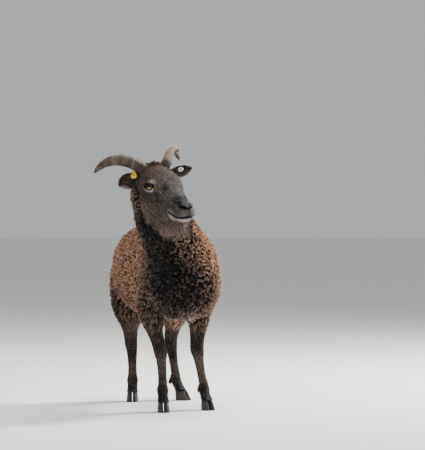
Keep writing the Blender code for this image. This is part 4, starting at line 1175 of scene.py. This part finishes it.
def coat_colour(tree, colours, where, root_shade, spread, flecks):
    """Pale and warm marks of the coat made into colours, with painted shade that darkens them towards the
    roots.
    """
    marks = add(tree, "Attribute", attribute_name="coat_marks_and_shade").node.outputs
    pale, warm, along = add(tree, "SeparateColor", {"Color": marks["Color"]}).node.outputs
    # patches of the coat 36 mm wide that the weather has bleached more or less
    cloud = add(tree, "TexNoise", {"Vector": where, "Scale": 28.0, "Detail": 3.0})
    shift = add(tree, "Math", {0: cloud, 1: -0.5}, operation="ADD")
    each = add(tree, "Math", {0: marks["Alpha"], 1: -0.5}, operation="ADD")
    # dark coats vary less from lock to lock than pale ones
    vary = add(tree, "MapRange", {"Value": pale, "To Min": 0.25 * spread, "To Max": 1.75 * spread})
    each = add(tree, "Math", {0: each, 1: vary}, operation="MULTIPLY")
    tone = add(tree, "Math", {0: shift, 1: 0.35, 2: pale}, operation="MULTIPLY_ADD")
    tone = add(tree, "Math", {0: tone, 1: each}, operation="ADD", use_clamp=True)
    # flecks of a few paler hairs, 5 mm wide
    fleck = add(tree, "TexNoise", {"Vector": where, "Scale": 190.0, "Detail": 2.0})
    fleck = add(tree, "MapRange", {"Value": fleck, "From Min": 0.3, "From Max": 0.7})
    fleck = add(tree, "Math", {0: fleck, 1: -0.45}, operation="ADD")
    tone = add(tree, "Math", {0: fleck, 1: flecks, 2: tone}, operation="MULTIPLY_ADD", use_clamp=True)
    kinds = []
    for dark, light in ((colours.hair_dark, colours.hair_pale), (colours.wool_dark, colours.wool_burnt)):
        kinds.append(add(tree, "Mix", {0: tone, 6: rgba(dark), 7: rgba(light)}, **COLOUR_MIX))
    both = add(tree, "Mix", {0: warm, 6: kinds[0], 7: kinds[1]}, **COLOUR_MIX)
    # painted shade: each tuft is darker towards its root, down to root_shade, for the shade among the locks
    # and hairs, with a little of the real paler weathered tips
    tip = {"Value": along, "From Min": 0.20, "To Min": root_shade}
    tip = add(tree, "MapRange", tip, interpolation_type="SMOOTHSTEP")
    return add(tree, "Mix", {0: 1.0, 6: both, 7: tip}, blend_type="MULTIPLY", **COLOUR_MIX)


def wool_material(colours):
    """Raw curled wool: matt fibres with a faint greasy sheen, and painted shade that makes it dark between
    the curls.
    """
    made, tree, where = new_material("raw_curled_wool")
    # root shade 0.02: the painted shade deep among the curls is near black
    shade = coat_colour(tree, colours, where, 0.02, 0.90, 0.0)
    # crimp of about 2 mm along the fibres, drawn coarser than the real 1 mm so that it shows
    crimp = add(tree, "TexNoise", {"Vector": where, "Scale": 480.0, "Detail": 2.0})
    bump = add(tree, "Bump", {"Height": crimp, "Strength": 0.5, "Distance": 0.001})
    surface(tree, shade, 0.86, Specular_IOR_Level=0.15, Sheen_Weight=0.06, Sheen_Roughness=0.5, Normal=bump)
    return made


def hair_material(colours):
    """Short coarse hair: straighter and glossier than wool."""
    made, tree, where = new_material("short_coarse_hair")
    # root shade 0.36: painted shade under the lying hair, darker towards each tuft's root
    surface(tree, coat_colour(tree, colours, where, 0.36, 0.52, 0.36), 0.62, Specular_IOR_Level=0.32)
    return made


def skin_material(colours):
    """Hide with flat hair on it, painted near black under the wool as the shade between the locks, and bare
    pored leather on the nose, lips and lids.
    """
    made, tree, where = new_material("haired_hide_and_nose_leather")
    # the skin takes the coat's colours with painted shade: near black where the wool covers it
    shade = coat_colour(tree, colours, where, 0.06, 0.0, 0.2)
    bare = add(tree, "Attribute", out="Fac", attribute_name="bare")
    both = add(tree, "Mix", {0: bare, 6: shade, 7: rgba(colours.leather)}, **COLOUR_MIX)
    # flat hair about 1.5 mm across the lie of the coat, and pores of the leather 1 mm apart
    lie = {"Vector": where, "Rotation": (HEAD_NOD, 0.0, HEAD_TURN), "Scale": (1, 0.25, 0.35)}
    hair = add(tree, "TexNoise", {"Vector": add(tree, "Mapping", lie), "Scale": 650.0, "Detail": 3.0})
    pores = add(tree, "TexVoronoi", {"Vector": where, "Scale": 900.0})
    height = add(tree, "Mix", {0: bare, 2: hair, 3: pores})
    bump = add(tree, "Bump", {"Height": height, "Strength": 0.30, "Distance": 0.0008})
    rough = add(tree, "MapRange", {"Value": bare, "To Min": 0.75, "To Max": 0.30})
    surface(tree, both, rough, Specular_IOR_Level=0.12, Normal=bump)
    return made


def spotted(tree, where, base, spots, scale, detail, limits):
    """A colour with a second one over it in a pattern of spots."""
    pattern = add(tree, "TexNoise", {"Vector": where, "Scale": scale, "Detail": detail})
    share = add(tree, "MapRange", {"Value": pattern, **limits})
    return add(tree, "Mix", {0: share, 6: rgba(base), 7: rgba(srgb(spots))}, **COLOUR_MIX)


# Pieces


def set_marks(skin, points, part):
    """Writes the coat's marks, the painted shade of the skin under the wool, and the bare leather on the
    skin.
    """
    # painted shade: the skin under the wool gets no share of a tip, so that it is near black between the
    # locks; haired skin matches the tufts over it
    share = 0.58 * (1 - np.clip(wool_depth(points, part) / 0.25, 0, 1))
    lot = np.full(len(points), 0.5)
    note(skin.data, "coat_marks_and_shade", np.stack((*markings_and_painted_highlights(points, part), share, lot), 1))
    mirror = folded(head_local(points))
    head = part == HEAD_PART
    bare = np.zeros(len(points))
    near = np.flatnonzero(head & (mirror[:, 1] < -0.14))
    lines = [(rod(*line), inside, outside) for *line, inside, outside in LEATHER]
    for line, inside, outside in (*lines, (mouth_line(0.0), 0.0040, 0.0058)):
        bare[near] = np.maximum(bare[near], ramp(-line_gap(mirror[near], line), -outside, -inside))
    near = np.flatnonzero(head & (np.linalg.norm(mirror - np.array(EYE_PLACE), axis=1) < 0.034))
    gap, along, over = lid_gap(mirror[near])
    # the bare dark leather round the lids is wider above: partly the upper lid's own leather, partly painted
    # shade under the brow
    wide = np.where(over > 0, 0.0060, 0.0024) + 0.0022 * ramp(np.abs(along), 0.010, 0.018)
    bare[near] = np.maximum(bare[near], ramp(-gap, -wide - 0.0012, -wide))
    note(skin.data, "bare", bare)


def sculpt_head(skin, points, normals, part):
    """Folds, hollows and crests of the head, as moves of the skin along its normals."""
    near = np.flatnonzero(part == HEAD_PART)
    face = folded(head_local(points))[near]
    rise = sum(height * blob(face, centre, reach) for centre, reach, height in FACE_FOLDS)
    for *line, wide, height in FACE_LINES:
        rise += height * bell(line_gap(face, rod(*line)), wide)
    gap, _, over = lid_gap(face)
    rise += np.where(over > 0, -0.0020, -0.0012) * bell(gap - 0.0078, 0.0014)
    rise += np.where(over > 0, 0.0018, 0.0009) * bell(gap - 0.0110, 0.0024)
    points[near] += normals[near] * rise[:, None]
    skin.data.vertices.foreach_set("co", points.astype(np.float32).ravel())
    skin.data.update()


class SOAY_OT_skin(bpy.types.Operator):
    """Makes one skin over the trunk, neck, head, ears, legs and tail"""

    bl_idname = "soay.skin"
    bl_label = "Skin"

    def execute(self, context):
        outline = head_shape()
        bones = BVHTree.FromBMesh(outline)
        head, cutters = [outline], []
        for side, _ in SIDES:
            eye, turn = mirrored(EYE_PLACE, side), eye_turn(side)
            head.append(ball(eye, (EYE_RADIUS + LID_THICK,) * 3, turn))
            upper = [p + turn @ Vector((0, 0.0012, -0.0004)) for p in lid_outline(side, 0.0016, 36)[:19]]
            head.append(tube(upper, 0.0030))
            head.append(tube(lid_outline(side, 0.0022, 36)[19:], 0.0022))
            head.append(nostril_ball(side, WING_HALF, WING_SHIFT))
            head.append(horn_boss(side))
            head += ear_shapes(side)
            cutters.append(ball(eye, (EYE_RADIUS + 0.0002,) * 3, turn, 32, 24))
            cutters.append(lid_opening(side))
            cutters.append(nostril_ball(side, NOSTRIL_HALF))
        for lift in (LIP_APART, -LIP_APART):
            head.append(tube(mouth_points(bones, lift, LIP_SUNK), LIP_THICK))
        cutters.append(tube(mouth_points(bones, 0.0, -0.0006), 0.0023))
        cleft = [bones.ray_cast(Vector((0, MUZZLE_HEART.y, z)), -Y)[0] for z in CLEFT]
        cutters.append(tube(cleft, 0.0015))
        for bm in head + cutters:
            bmesh.ops.transform(bm, matrix=HEAD_FRAME, verts=bm.verts)
        skin = grown_together("skin", [*head, neck_shape(3, 6, 0)], 0.0019)
        tail = loft(sections_along(TAIL, 16, 3, 0.0))
        body = [tall_eggs(TRUNK, TRUNK_FULLNESS), neck_shape(0, 5, -1), tail]
        trunk = grown_together("trunk", body, 0.0062)
        legs = grown_together("legs", [shape for leg in LEGS for shape in leg_shapes(leg)], 0.0036)
        boolean(skin, [trunk, legs], "UNION")
        points = mesh_points(skin)
        sculpt_head(skin, points, mesh_points(skin, "normal"), body_part(points))
        boolean(skin, [as_object("cutter", bm) for bm in cutters], "DIFFERENCE")
        points = mesh_points(skin)
        set_marks(skin, points, body_part(points))
        return {"FINISHED"}


class SOAY_OT_coat(bpy.types.Operator):
    """Grows the curled wool and the short hair on the skin, and finishes the skin"""

    bl_idname = "soay.coat"
    bl_label = "Wool and hair"

    def execute(self, context):
        skin = bpy.data.objects["skin"]
        sizes, colours = context.scene.soay_sizes, context.scene.soay_colours
        rng = np.random.default_rng(sizes.seed)
        coarser = 1.0
        self.grow_wool(skin, sizes, wool_material(colours), rng, coarser)
        self.grow_hair(skin, sizes, hair_material(colours), rng, coarser)
        nodes = ["torso", "neck", "head", "tail", "ear_left", "ear_right", *(f"leg_{leg[0]}" for leg in LEGS)]
        finish(skin, skin_material(colours), "hide", nodes)
        return {"FINISHED"}

    def grow_wool(self, skin, sizes, material, rng, coarser):
        def wanted(points):
            return wool_depth(points, body_part(points)) > 0.12

        places, normals = roots_on(skin, sizes.curl_spacing * coarser, wanted, rng)
        part = body_part(places)
        depth = wool_depth(places, part)
        count = len(places)
        radius = sizes.curl_radius * rng.uniform(0.75, 1.2, count) * np.clip(0.35 + depth, 0.45, 1)
        rise = np.maximum(depth * sizes.coat_depth * rng.uniform(0.80, 1.02, count) - 0.001, 0.0045)
        hang = ramp(0.37 - places[:, 2], 0.0, 0.10) * (part >= FIRST_LEG)
        reach = rng.uniform(0.000, 0.007, count) + 0.016 * hang
        turns = rng.uniform(1.1, 1.6, count) * (1 - 0.4 * hang)
        # the tips of two or three locks meet in one rounded nub, with a gap round it where the painted shade
        # of the roots and the skin shows dark
        nubs = roots_on(skin, sizes.nub_spacing * coarser, wanted, rng)[0]
        tree = tree_of(nubs)
        spots, nearest, _ = zip(*(tree.find(place) for place in places))
        pull = np.array(spots) - places
        pull -= normals * (pull * normals).sum(1, keepdims=True)
        away = np.linalg.norm(pull, axis=1) / sizes.nub_spacing
        rise = rise * (1 - 0.30 * hang) * (1 - 0.30 * np.clip(away, 0, 1))
        lie = lie_of_coat(places, normals, part)
        taper = np.array(WOOL_TAPER)
        lines = curl_lines(places, normals, lie, rise, reach, radius, turns, rng, len(taper))
        lines += pull[:, None] * 0.85 * np.linspace(0, 1, len(taper))[None, :, None] ** 0.7
        tone = rng.random(len(nubs))[list(nearest)]
        width = sizes.lock_width * coarser * rng.uniform(0.85, 1.2, count) * np.clip(0.45 + depth, 0.6, 1)
        lot = 0.65 * tone + 0.35 * rng.random(count)
        grown("wool", places, lot, part, (lines, width[:, None] * taper, normals), material, "fleece")

    def grow_hair(self, skin, sizes, material, rng, coarser):
        def wanted(points):
            part = body_part(points)
            local = head_local(points)
            mirror = folded(local)
            haired = wool_depth(points, part) < 0.25
            eye = np.linalg.norm(mirror - np.array(EYE_PLACE), axis=1)
            lids = np.flatnonzero(eye < 0.030)
            gap, _, over = lid_gap(mirror[lids])
            inside = (eye[lids] < 0.0188) & (gap > 0.001)
            # no hair on the wider bare band above the eye, which is partly painted shade under the brow
            haired[lids] &= (gap > np.where(over > 0, 0.0056, 0.0028)) & ~inside
            haired &= np.linalg.norm((mirror - NOSE_PAD) / NOSE_PAD_SHAPE, axis=1) > NOSE_PAD_SIZE
            mouth = np.flatnonzero((local[:, 1] < -0.15) & (part == HEAD_PART))
            haired[mouth] &= line_gap(mirror[mouth], mouth_line(0.0)) > 0.0046
            haired &= points[:, 2] > 0.034
            for side, _ in SIDES:
                pin = np.array(ear_point(side, *TAG_PLACES[side], 0.0))
                haired &= np.linalg.norm(local - pin, axis=1) > TAG_RADIUS + 0.003
            return haired * np.where(part >= FIRST_LEG, 0.80, 1.0)

        places, normals = roots_on(skin, sizes.hair_spacing * coarser, wanted, rng)
        part = body_part(places)
        local = head_local(places)
        count = len(places)
        on_head = part == HEAD_PART
        throat = throat_share(places, part)
        length = np.where(part >= FIRST_LEG, 0.0085, sizes.hair_length)
        length = np.where(is_ear(part), 0.0052, length)
        poll = blob(local, (0.0, 0.005, 0.0), (0.026, 0.026, 0.03)) * on_head
        muzzle = ramp(-local[:, 1], 0.12, 0.19) * on_head
        lids = np.linalg.norm(folded(local) - np.array(EYE_PLACE), axis=1)
        near_eye = ramp(-lids, -0.032, -0.022) * on_head
        length = length * (1 - 0.45 * muzzle) * (1 - 0.45 * near_eye) + 0.013 * throat + 0.010 * poll
        length *= rng.uniform(0.75, 1.25, count)
        lie = lie_of_coat(places, normals, part)
        lift = length * (0.16 + 0.30 * poll + 0.14 * throat) * rng.uniform(0.4, 1.4, count)
        lines = hair_lines(places, normals, lie, length, lift, rng, len(HAIR_TAPER))
        width = sizes.hair_width * coarser * rng.uniform(0.8, 1.25, count) * (1 + 0.7 * throat + 0.8 * poll)
        shape = (lines, width[:, None] * HAIR_TAPER, normals)
        grown("hair", places, rng.random(count), part, shape, material, "hide")


class SOAY_OT_eyes(bpy.types.Operator):
    """Makes the two eyes, each with a low bulge of clear horn over a slotted pupil"""

    bl_idname = "soay.eyes"
    bl_label = "Eyes"

    def execute(self, context):
        radius = EYE_RADIUS - 0.0001
        for side, word in SIDES:
            bm = ball((0, 0, 0), (radius,) * 3, None, 40, 28)
            for vert in bm.verts:
                vert.co.z += 0.0011 * (max(0.0, vert.co.z / radius - 0.62) / 0.38) ** 1.5
            turn = HEAD_FRAME.to_3x3() @ eye_turn(side) @ Matrix.Rotation(GAZE_TURN * side, 3, "Y")
            place = HEAD_FRAME @ mirrored(EYE_PLACE, side)
            bmesh.ops.rotate(bm, cent=(0, 0, 0), matrix=turn, verts=bm.verts)
            bmesh.ops.translate(bm, vec=place, verts=bm.verts)
            material = self.material(context.scene.soay_colours, word, ROW_SHIFT @ place, turn)
            finish(as_object(f"eyeball_{word}", bm), material, "eye", [f"eye_{word}"])
        return {"FINISHED"}

    def material(self, colours, word, place, turn):
        """A wet eye: amber iris with fine spokes, a level slot of a pupil that also paints the upper lid's
        shade on the iris, dark towards the lids.
        """
        made, tree, where = new_material(f"wet_amber_eye_{word}")
        centred = add(tree, "VectorMath", {0: where, 1: -place}, operation="ADD")
        own = add(tree, "Mapping", {"Vector": centred, "Rotation": turn.transposed().to_euler()})
        x, y, _ = add(tree, "SeparateXYZ", {"Vector": own}).node.outputs
        # the pupil is a level slot 18 mm long and 9 mm high, the upper part of it under the lid; its dark,
        # this large and high, also stands for painted shade of the upper lid over the iris
        wide = add(tree, "Math", {0: x, 1: 1 / 0.0092}, operation="MULTIPLY")
        high = add(tree, "Math", {0: y, 1: 1 / 0.0046, 2: -0.55}, operation="MULTIPLY_ADD")
        slot = add(tree, "CombineXYZ", {"X": wide, "Y": high})
        slot = add(tree, "VectorMath", {0: slot}, "Value", operation="LENGTH")
        limits = {"From Min": 0.85, "From Max": 1.1, "To Min": 1.0, "To Max": 0.0}
        pupil_and_lid_shade = add(tree, "MapRange", {"Value": slot, **limits})
        far = add(tree, "CombineXYZ", {"X": x, "Y": y})
        far = add(tree, "VectorMath", {0: far}, "Value", operation="LENGTH")
        rim = add(tree, "MapRange", {"Value": far, "From Min": 0.0075, "From Max": 0.0108})
        # spokes of the iris 1.4 mm wide
        spokes = add(tree, "TexNoise", {"Vector": own, "Scale": 700.0, "Detail": 2.0})
        spokes = add(tree, "MapRange", {"Value": spokes, "To Min": 0.6, "To Max": 1.25})
        iris = {0: 1.0, 6: rgba(colours.iris), 7: spokes}
        shade = add(tree, "Mix", iris, blend_type="MULTIPLY", **COLOUR_MIX)
        for share, tint in ((rim, "#1a1512"), (pupil_and_lid_shade, "#050608")):
            shade = add(tree, "Mix", {0: share, 6: shade, 7: rgba(srgb(tint))}, **COLOUR_MIX)
        surface(tree, shade, 0.3, Specular_IOR_Level=0.05, Coat_Weight=0.35, Coat_Roughness=0.03)
        return made


class SOAY_OT_horns(bpy.types.Operator):
    """Makes the two ringed horns, the right one pointed and the left one worn blunt"""

    bl_idname = "soay.horns"
    bl_label = "Horns"

    def execute(self, context):
        material = self.material(context.scene.soay_colours)
        for side, word in SIDES:
            path = list(horn_path(side, HORN_STEPS[side]))
            horn = as_object(f"horn_sheath_{word}", self.shape(side, path))
            self.set_wear_and_shade(horn, side, path)
            finish(horn, material, "horn", [f"horn_{word}"])
        return {"FINISHED"}

    def rings(self, side, share):
        """Height of the growth rings at a share of the length: clear at the root, fainter to the tip."""
        wave = HORN_RINGS[side] * share**0.92
        wave += 0.30 * math.sin(1.7 * wave) + 0.22 * math.sin(0.61 * wave + side)
        ring = 0.5 + 0.5 * math.cos(2 * math.pi * wave)
        strength = 0.60 + 0.40 * math.sin(1.13 * wave + 2 * side)
        return ring**0.7 * strength * (1 - 0.6 * share**1.5)

    def shape(self, side, path):
        sections = []
        for place, along, share, wide, deep in path:
            size = 0.980 + 0.036 * self.rings(side, share) + 0.010 * math.sin(23 * share + side)
            sections.append(horn_ring(side, place, along, wide * size, deep * size, 24))
        shapes = [loft(sections)]
        if side > 0:
            shapes += [ball(path[-6][0] + Vector(offset), radii, None, 20, 12) for offset, radii in HORN_KNOB]
        bm = merged(shapes)
        bmesh.ops.transform(bm, matrix=HEAD_FRAME, verts=bm.verts)
        bmesh.ops.recalc_face_normals(bm, faces=bm.faces)
        return bm

    def set_wear_and_shade(self, horn, side, path):
        """Marks of a horn: the ring's height, the share of its length, how far up, which gives the painted
        shade underneath, and 1 on the left one.
        """
        tree = tree_of([HEAD_FRAME @ mirrored(row[0], side) for row in path])
        marks = []
        for point in mesh_points(horn):
            spot, index, _ = tree.find(point)
            share = path[index][2]
            up = np.clip(0.5 + (point[2] - spot.z) / 0.03, 0, 1)
            marks.append((self.rings(side, share), share, up, side > 0))
        note(horn.data, "horn_wear_and_shade", np.array(marks))

    def material(self, colours):
        """Grown horn: grey ridges over dark grooves, partly weathered and partly painted highlight and shade,
        painted shade on the underside, fibres along it, half matt.
        """
        made, tree, where = new_material("weathered_ram_horn")
        marks = add(tree, "Attribute", attribute_name="horn_wear_and_shade").node.outputs
        ring, along, up = add(tree, "SeparateColor", {"Color": marks["Color"]}).node.outputs
        # fibres and pits 5 mm wide, and stains 22 mm wide
        grain = add(tree, "TexNoise", {"Vector": where, "Scale": 220.0, "Detail": 5.0, "Roughness": 0.65})
        stain = add(tree, "TexNoise", {"Vector": where, "Scale": 45.0, "Detail": 2.0})
        # ridges paler and grooves darker: partly the horn's own weathering, partly painted highlight on the
        # ridges and painted shade in the grooves
        light = add(tree, "MapRange", {"Value": ring, "To Min": 0.06, "To Max": 0.46})
        # painted shade: the horn's underside is darker, its top lighter
        painted_underside_shade = add(tree, "MapRange", {"Value": up, "To Min": 0.35, "To Max": 1.15})
        root = add(tree, "MapRange", {"Value": along, "From Max": 0.16, "To Min": 0.2})
        for shade in (painted_underside_shade, root):
            light = add(tree, "Math", {0: light, 1: shade}, operation="MULTIPLY")
        light = add(tree, "Math", {0: marks["Alpha"], 1: 0.26, 2: light}, operation="MULTIPLY_ADD")
        for pattern, swing in ((grain, 0.28), (stain, 0.25)):
            change = add(tree, "MapRange", {"Value": pattern, "To Min": -swing, "To Max": swing})
            light = add(tree, "Math", {0: light, 1: change}, operation="ADD")
        mix = {0: light, 6: rgba(colours.horn_dark), 7: rgba(colours.horn_pale)}
        bump = add(tree, "Bump", {"Height": grain, "Strength": 0.5, "Distance": 0.0008})
        surface(tree, add(tree, "Mix", mix, **COLOUR_MIX), 0.66, Normal=bump, IOR=1.45)
        return made


class SOAY_OT_hooves(bpy.types.Operator):
    """Makes the eight claws, with growth lines and a worn edge"""

    bl_idname = "soay.hooves"
    bl_label = "Hooves"

    def execute(self, context):
        material = self.material(context.scene.soay_colours)
        for leg in LEGS:
            for side, word in ((-1, "inner"), (1, "outer")):
                claw = as_object(f"claw_{leg[0]}_{word}", self.shape(leg, side * leg[1]))
                finish(claw, material, "hoof", [f"hoof_{leg[0]}_{word}"])
        return {"FINISHED"}

    def shape(self, leg, side):
        _, ankle, heading = leg_frame(leg)
        middle = Vector((ankle.x, ankle.y, 0)) + heading * (FOOT[-1][1] + 0.001)
        across = Vector((-heading.y, heading.x, 0)) * side
        sections = []
        for z, long, ahead, wide in [*CLAW_ROWS[:2], *smooth_rows(CLAW_ROWS[2:], 5)]:
            ring = []
            line = 1 + 0.012 * math.sin(z * 2100)
            for i in range(28):
                angle = 2 * math.pi * i / 28
                c, s = math.cos(angle), math.sin(angle)
                point = middle + Z * z + heading * (ahead + long * line * CLAW_LENGTH / 2 * c)
                blunt = 1.0 if c < 0 else 1 - 0.42 * c * c
                out = CLAW_SPLIT / 2 + CLAW_WIDTH * wide * (0.5 + 0.5 * s * blunt)
                ring.append(point + across * max(out, CLAW_SPLIT / 2))
            sections.append(ring)
        return loft(sections)

    def material(self, colours):
        """Hoof horn: dark, dull and muddy grey, with level growth lines about 3 mm apart."""
        made, tree, where = new_material("worn_hoof_horn")
        wave = {"Vector": where, "Scale": 52.0, "Distortion": 3.0}
        lines = add(tree, "TexWave", wave, "Fac", bands_direction="Z")
        bump = add(tree, "Bump", {"Height": lines, "Strength": 0.3, "Distance": 0.0006})
        # dried mud in spots 6 mm wide
        shade = spotted(tree, where, colours.hoof, "#453d36", 160.0, 4.0, {"To Max": 0.55})
        surface(tree, shade, 0.6, Normal=bump)
        return made


class SOAY_OT_tags(bpy.types.Operator):
    """Makes the two button tags in the ears"""

    bl_idname = "soay.tags"
    bl_label = "Ear tags"

    def execute(self, context):
        colours = context.scene.soay_colours
        plastic = ("plastic", colours.tag_right, 0.38, 0.0, "tag_yellow")
        metal = ("metal", colours.tag_left, 0.32, 0.6, "tag_white")
        for (side, word), (*look, slot) in zip(SIDES, (plastic, metal)):
            tag = as_object(f"button_tag_{word}", self.shape(side))
            finish(tag, self.material(*look), slot, [f"tag_{word}"])
        return {"FINISHED"}

    def shape(self, side):
        """Two dished discs and the hollow pin between them, turned as one profile."""
        front = TAG_PIN + TAG_HANG[side]
        profile = [(z - TAG_PIN, r) for z, r in TAG_BACK] + [(z + front, r) for z, r in TAG_FRONT]
        bm = bmesh.new()
        verts = [bm.verts.new((r, 0, z)) for z, r in profile]
        edges = [bm.edges.new(pair) for pair in zip(verts, verts[1:])]
        circle = {"axis": Z, "cent": (0, 0, 0), "steps": 40, "angle": math.tau, "use_merge": True}
        bmesh.ops.spin(bm, geom=verts + edges, **circle)
        bmesh.ops.remove_doubles(bm, verts=bm.verts, dist=1e-6)
        bmesh.ops.recalc_face_normals(bm, faces=bm.faces)
        turn = TAG_FACES[side].to_track_quat("Z", "Y").to_matrix()
        bmesh.ops.rotate(bm, cent=(0, 0, 0), matrix=turn, verts=bm.verts)
        bmesh.ops.translate(bm, vec=ear_point(side, *TAG_PLACES[side], 0.0), verts=bm.verts)
        bmesh.ops.transform(bm, matrix=HEAD_FRAME, verts=bm.verts)
        return bm

    def material(self, kind, tint, rough, metallic):
        """Moulded plastic on the right and pressed metal on the left, both a little scuffed."""
        made, tree, where = new_material(f"scuffed_{kind}_tag")
        # scuffs and grime in spots 2.4 mm wide
        limits = {"From Min": 0.52, "From Max": 0.75}
        surface(tree, spotted(tree, where, tint, "#5c4c30", 420.0, 4.0, limits), rough, Metallic=metallic)
        return made


class SOAY_OT_stage(bpy.types.Operator):
    """Sets the floor, the soft lights and the camera"""

    bl_idname = "soay.stage"
    bl_label = "Stage"

    def execute(self, context):
        bm = bmesh.new()
        bmesh.ops.create_circle(bm, cap_ends=True, segments=96, radius=30.0)
        floor = as_object("studio_floor", bm)
        floor.data.materials.append(self.floor_material(context.scene.soay_colours))
        world = bpy.data.worlds.new("soft_studio")
        context.scene.world = world
        world.use_nodes = True
        sky = world.node_tree.nodes["Background"].inputs
        sky["Color"].default_value = rgba(srgb("#e6e8ea"))
        sky["Strength"].default_value = 0.62
        for name, place, aim, size, power in LIGHTS:
            data = bpy.data.lights.new(name, "AREA")
            data.shape, data.size, data.energy = "DISK", size, power
            lamp = bpy.data.objects.new(name, data)
            lamp.location = place
            lamp.rotation_euler = (Vector(aim) - Vector(place)).to_track_quat("-Z", "Y").to_euler()
            context.scene.collection.objects.link(lamp)
        self.camera(context)
        return {"FINISHED"}

    def floor_material(self, colours):
        """Matt painted floor with a faint mottle 45 mm wide."""
        made, tree, where = new_material("matt_painted_floor")
        surface(tree, spotted(tree, where, colours.floor, "#dedbd4", 22.0, 2.0, {"To Max": 0.08}), 0.85)
        return made

    def camera(self, context):
        right = Vector((math.cos(CAMERA_TURN), -math.sin(CAMERA_TURN), 0))
        away = Vector((math.sin(CAMERA_TURN), math.cos(CAMERA_TURN), 0))
        data = bpy.data.cameras.new("camera")
        data.sensor_fit = "HORIZONTAL"
        data.sensor_width = 36.0
        data.lens = CAMERA_FOCUS / PICTURE[0] * 36.0
        data.clip_end = 100.0
        camera = bpy.data.objects.new("camera", data)
        camera.location = -BOX_CENTRE - away * CAMERA_DISTANCE + Z * CAMERA_HEIGHT
        aside, below = ((PICTURE[i] / 2 - PICTURE_ORIGIN[i]) / CAMERA_FOCUS for i in (0, 1))
        look = (away + right * aside - Z * below).normalized()
        camera.rotation_mode = "QUATERNION"
        camera.rotation_quaternion = look.to_track_quat("-Z", "Y")
        context.scene.collection.objects.link(camera)
        context.scene.camera = camera


class SOAY_PT_panel(bpy.types.Panel):
    """Lists the pieces of the sheep with the sizes and colours that they take"""

    bl_idname = "SOAY_PT_panel"
    bl_label = "Soay Sheep"
    bl_space_type = "VIEW_3D"
    bl_region_type = "UI"
    bl_category = "Sheep"

    def draw(self, context):
        layout = self.layout
        for operator in OPERATORS:
            layout.operator(operator.bl_idname)
        for group in (context.scene.soay_sizes, context.scene.soay_colours):
            for name in group.bl_rna.properties.keys():
                if name not in ("rna_type", "name"):
                    layout.prop(group, name)


OPERATORS = (
    SOAY_OT_skin,
    SOAY_OT_coat,
    SOAY_OT_eyes,
    SOAY_OT_horns,
    SOAY_OT_hooves,
    SOAY_OT_tags,
    SOAY_OT_stage,
)
CLASSES = (SoaySizes, SoayColours, *OPERATORS, SOAY_PT_panel)


def register():
    for entry in CLASSES:
        bpy.utils.register_class(entry)
    bpy.types.Scene.soay_sizes = PointerProperty(type=SoaySizes)
    bpy.types.Scene.soay_colours = PointerProperty(type=SoayColours)


def unregister():
    del bpy.types.Scene.soay_colours
    del bpy.types.Scene.soay_sizes
    for entry in reversed(CLASSES):
        bpy.utils.unregister_class(entry)


def main():
    register()
    bpy.ops.soay.skin()
    bpy.ops.soay.coat()
    bpy.ops.soay.eyes()
    bpy.ops.soay.horns()
    bpy.ops.soay.hooves()
    bpy.ops.soay.tags()
    bpy.ops.soay.stage()
    bpy.context.view_layer.update()


if __name__ == "__main__":
    main()
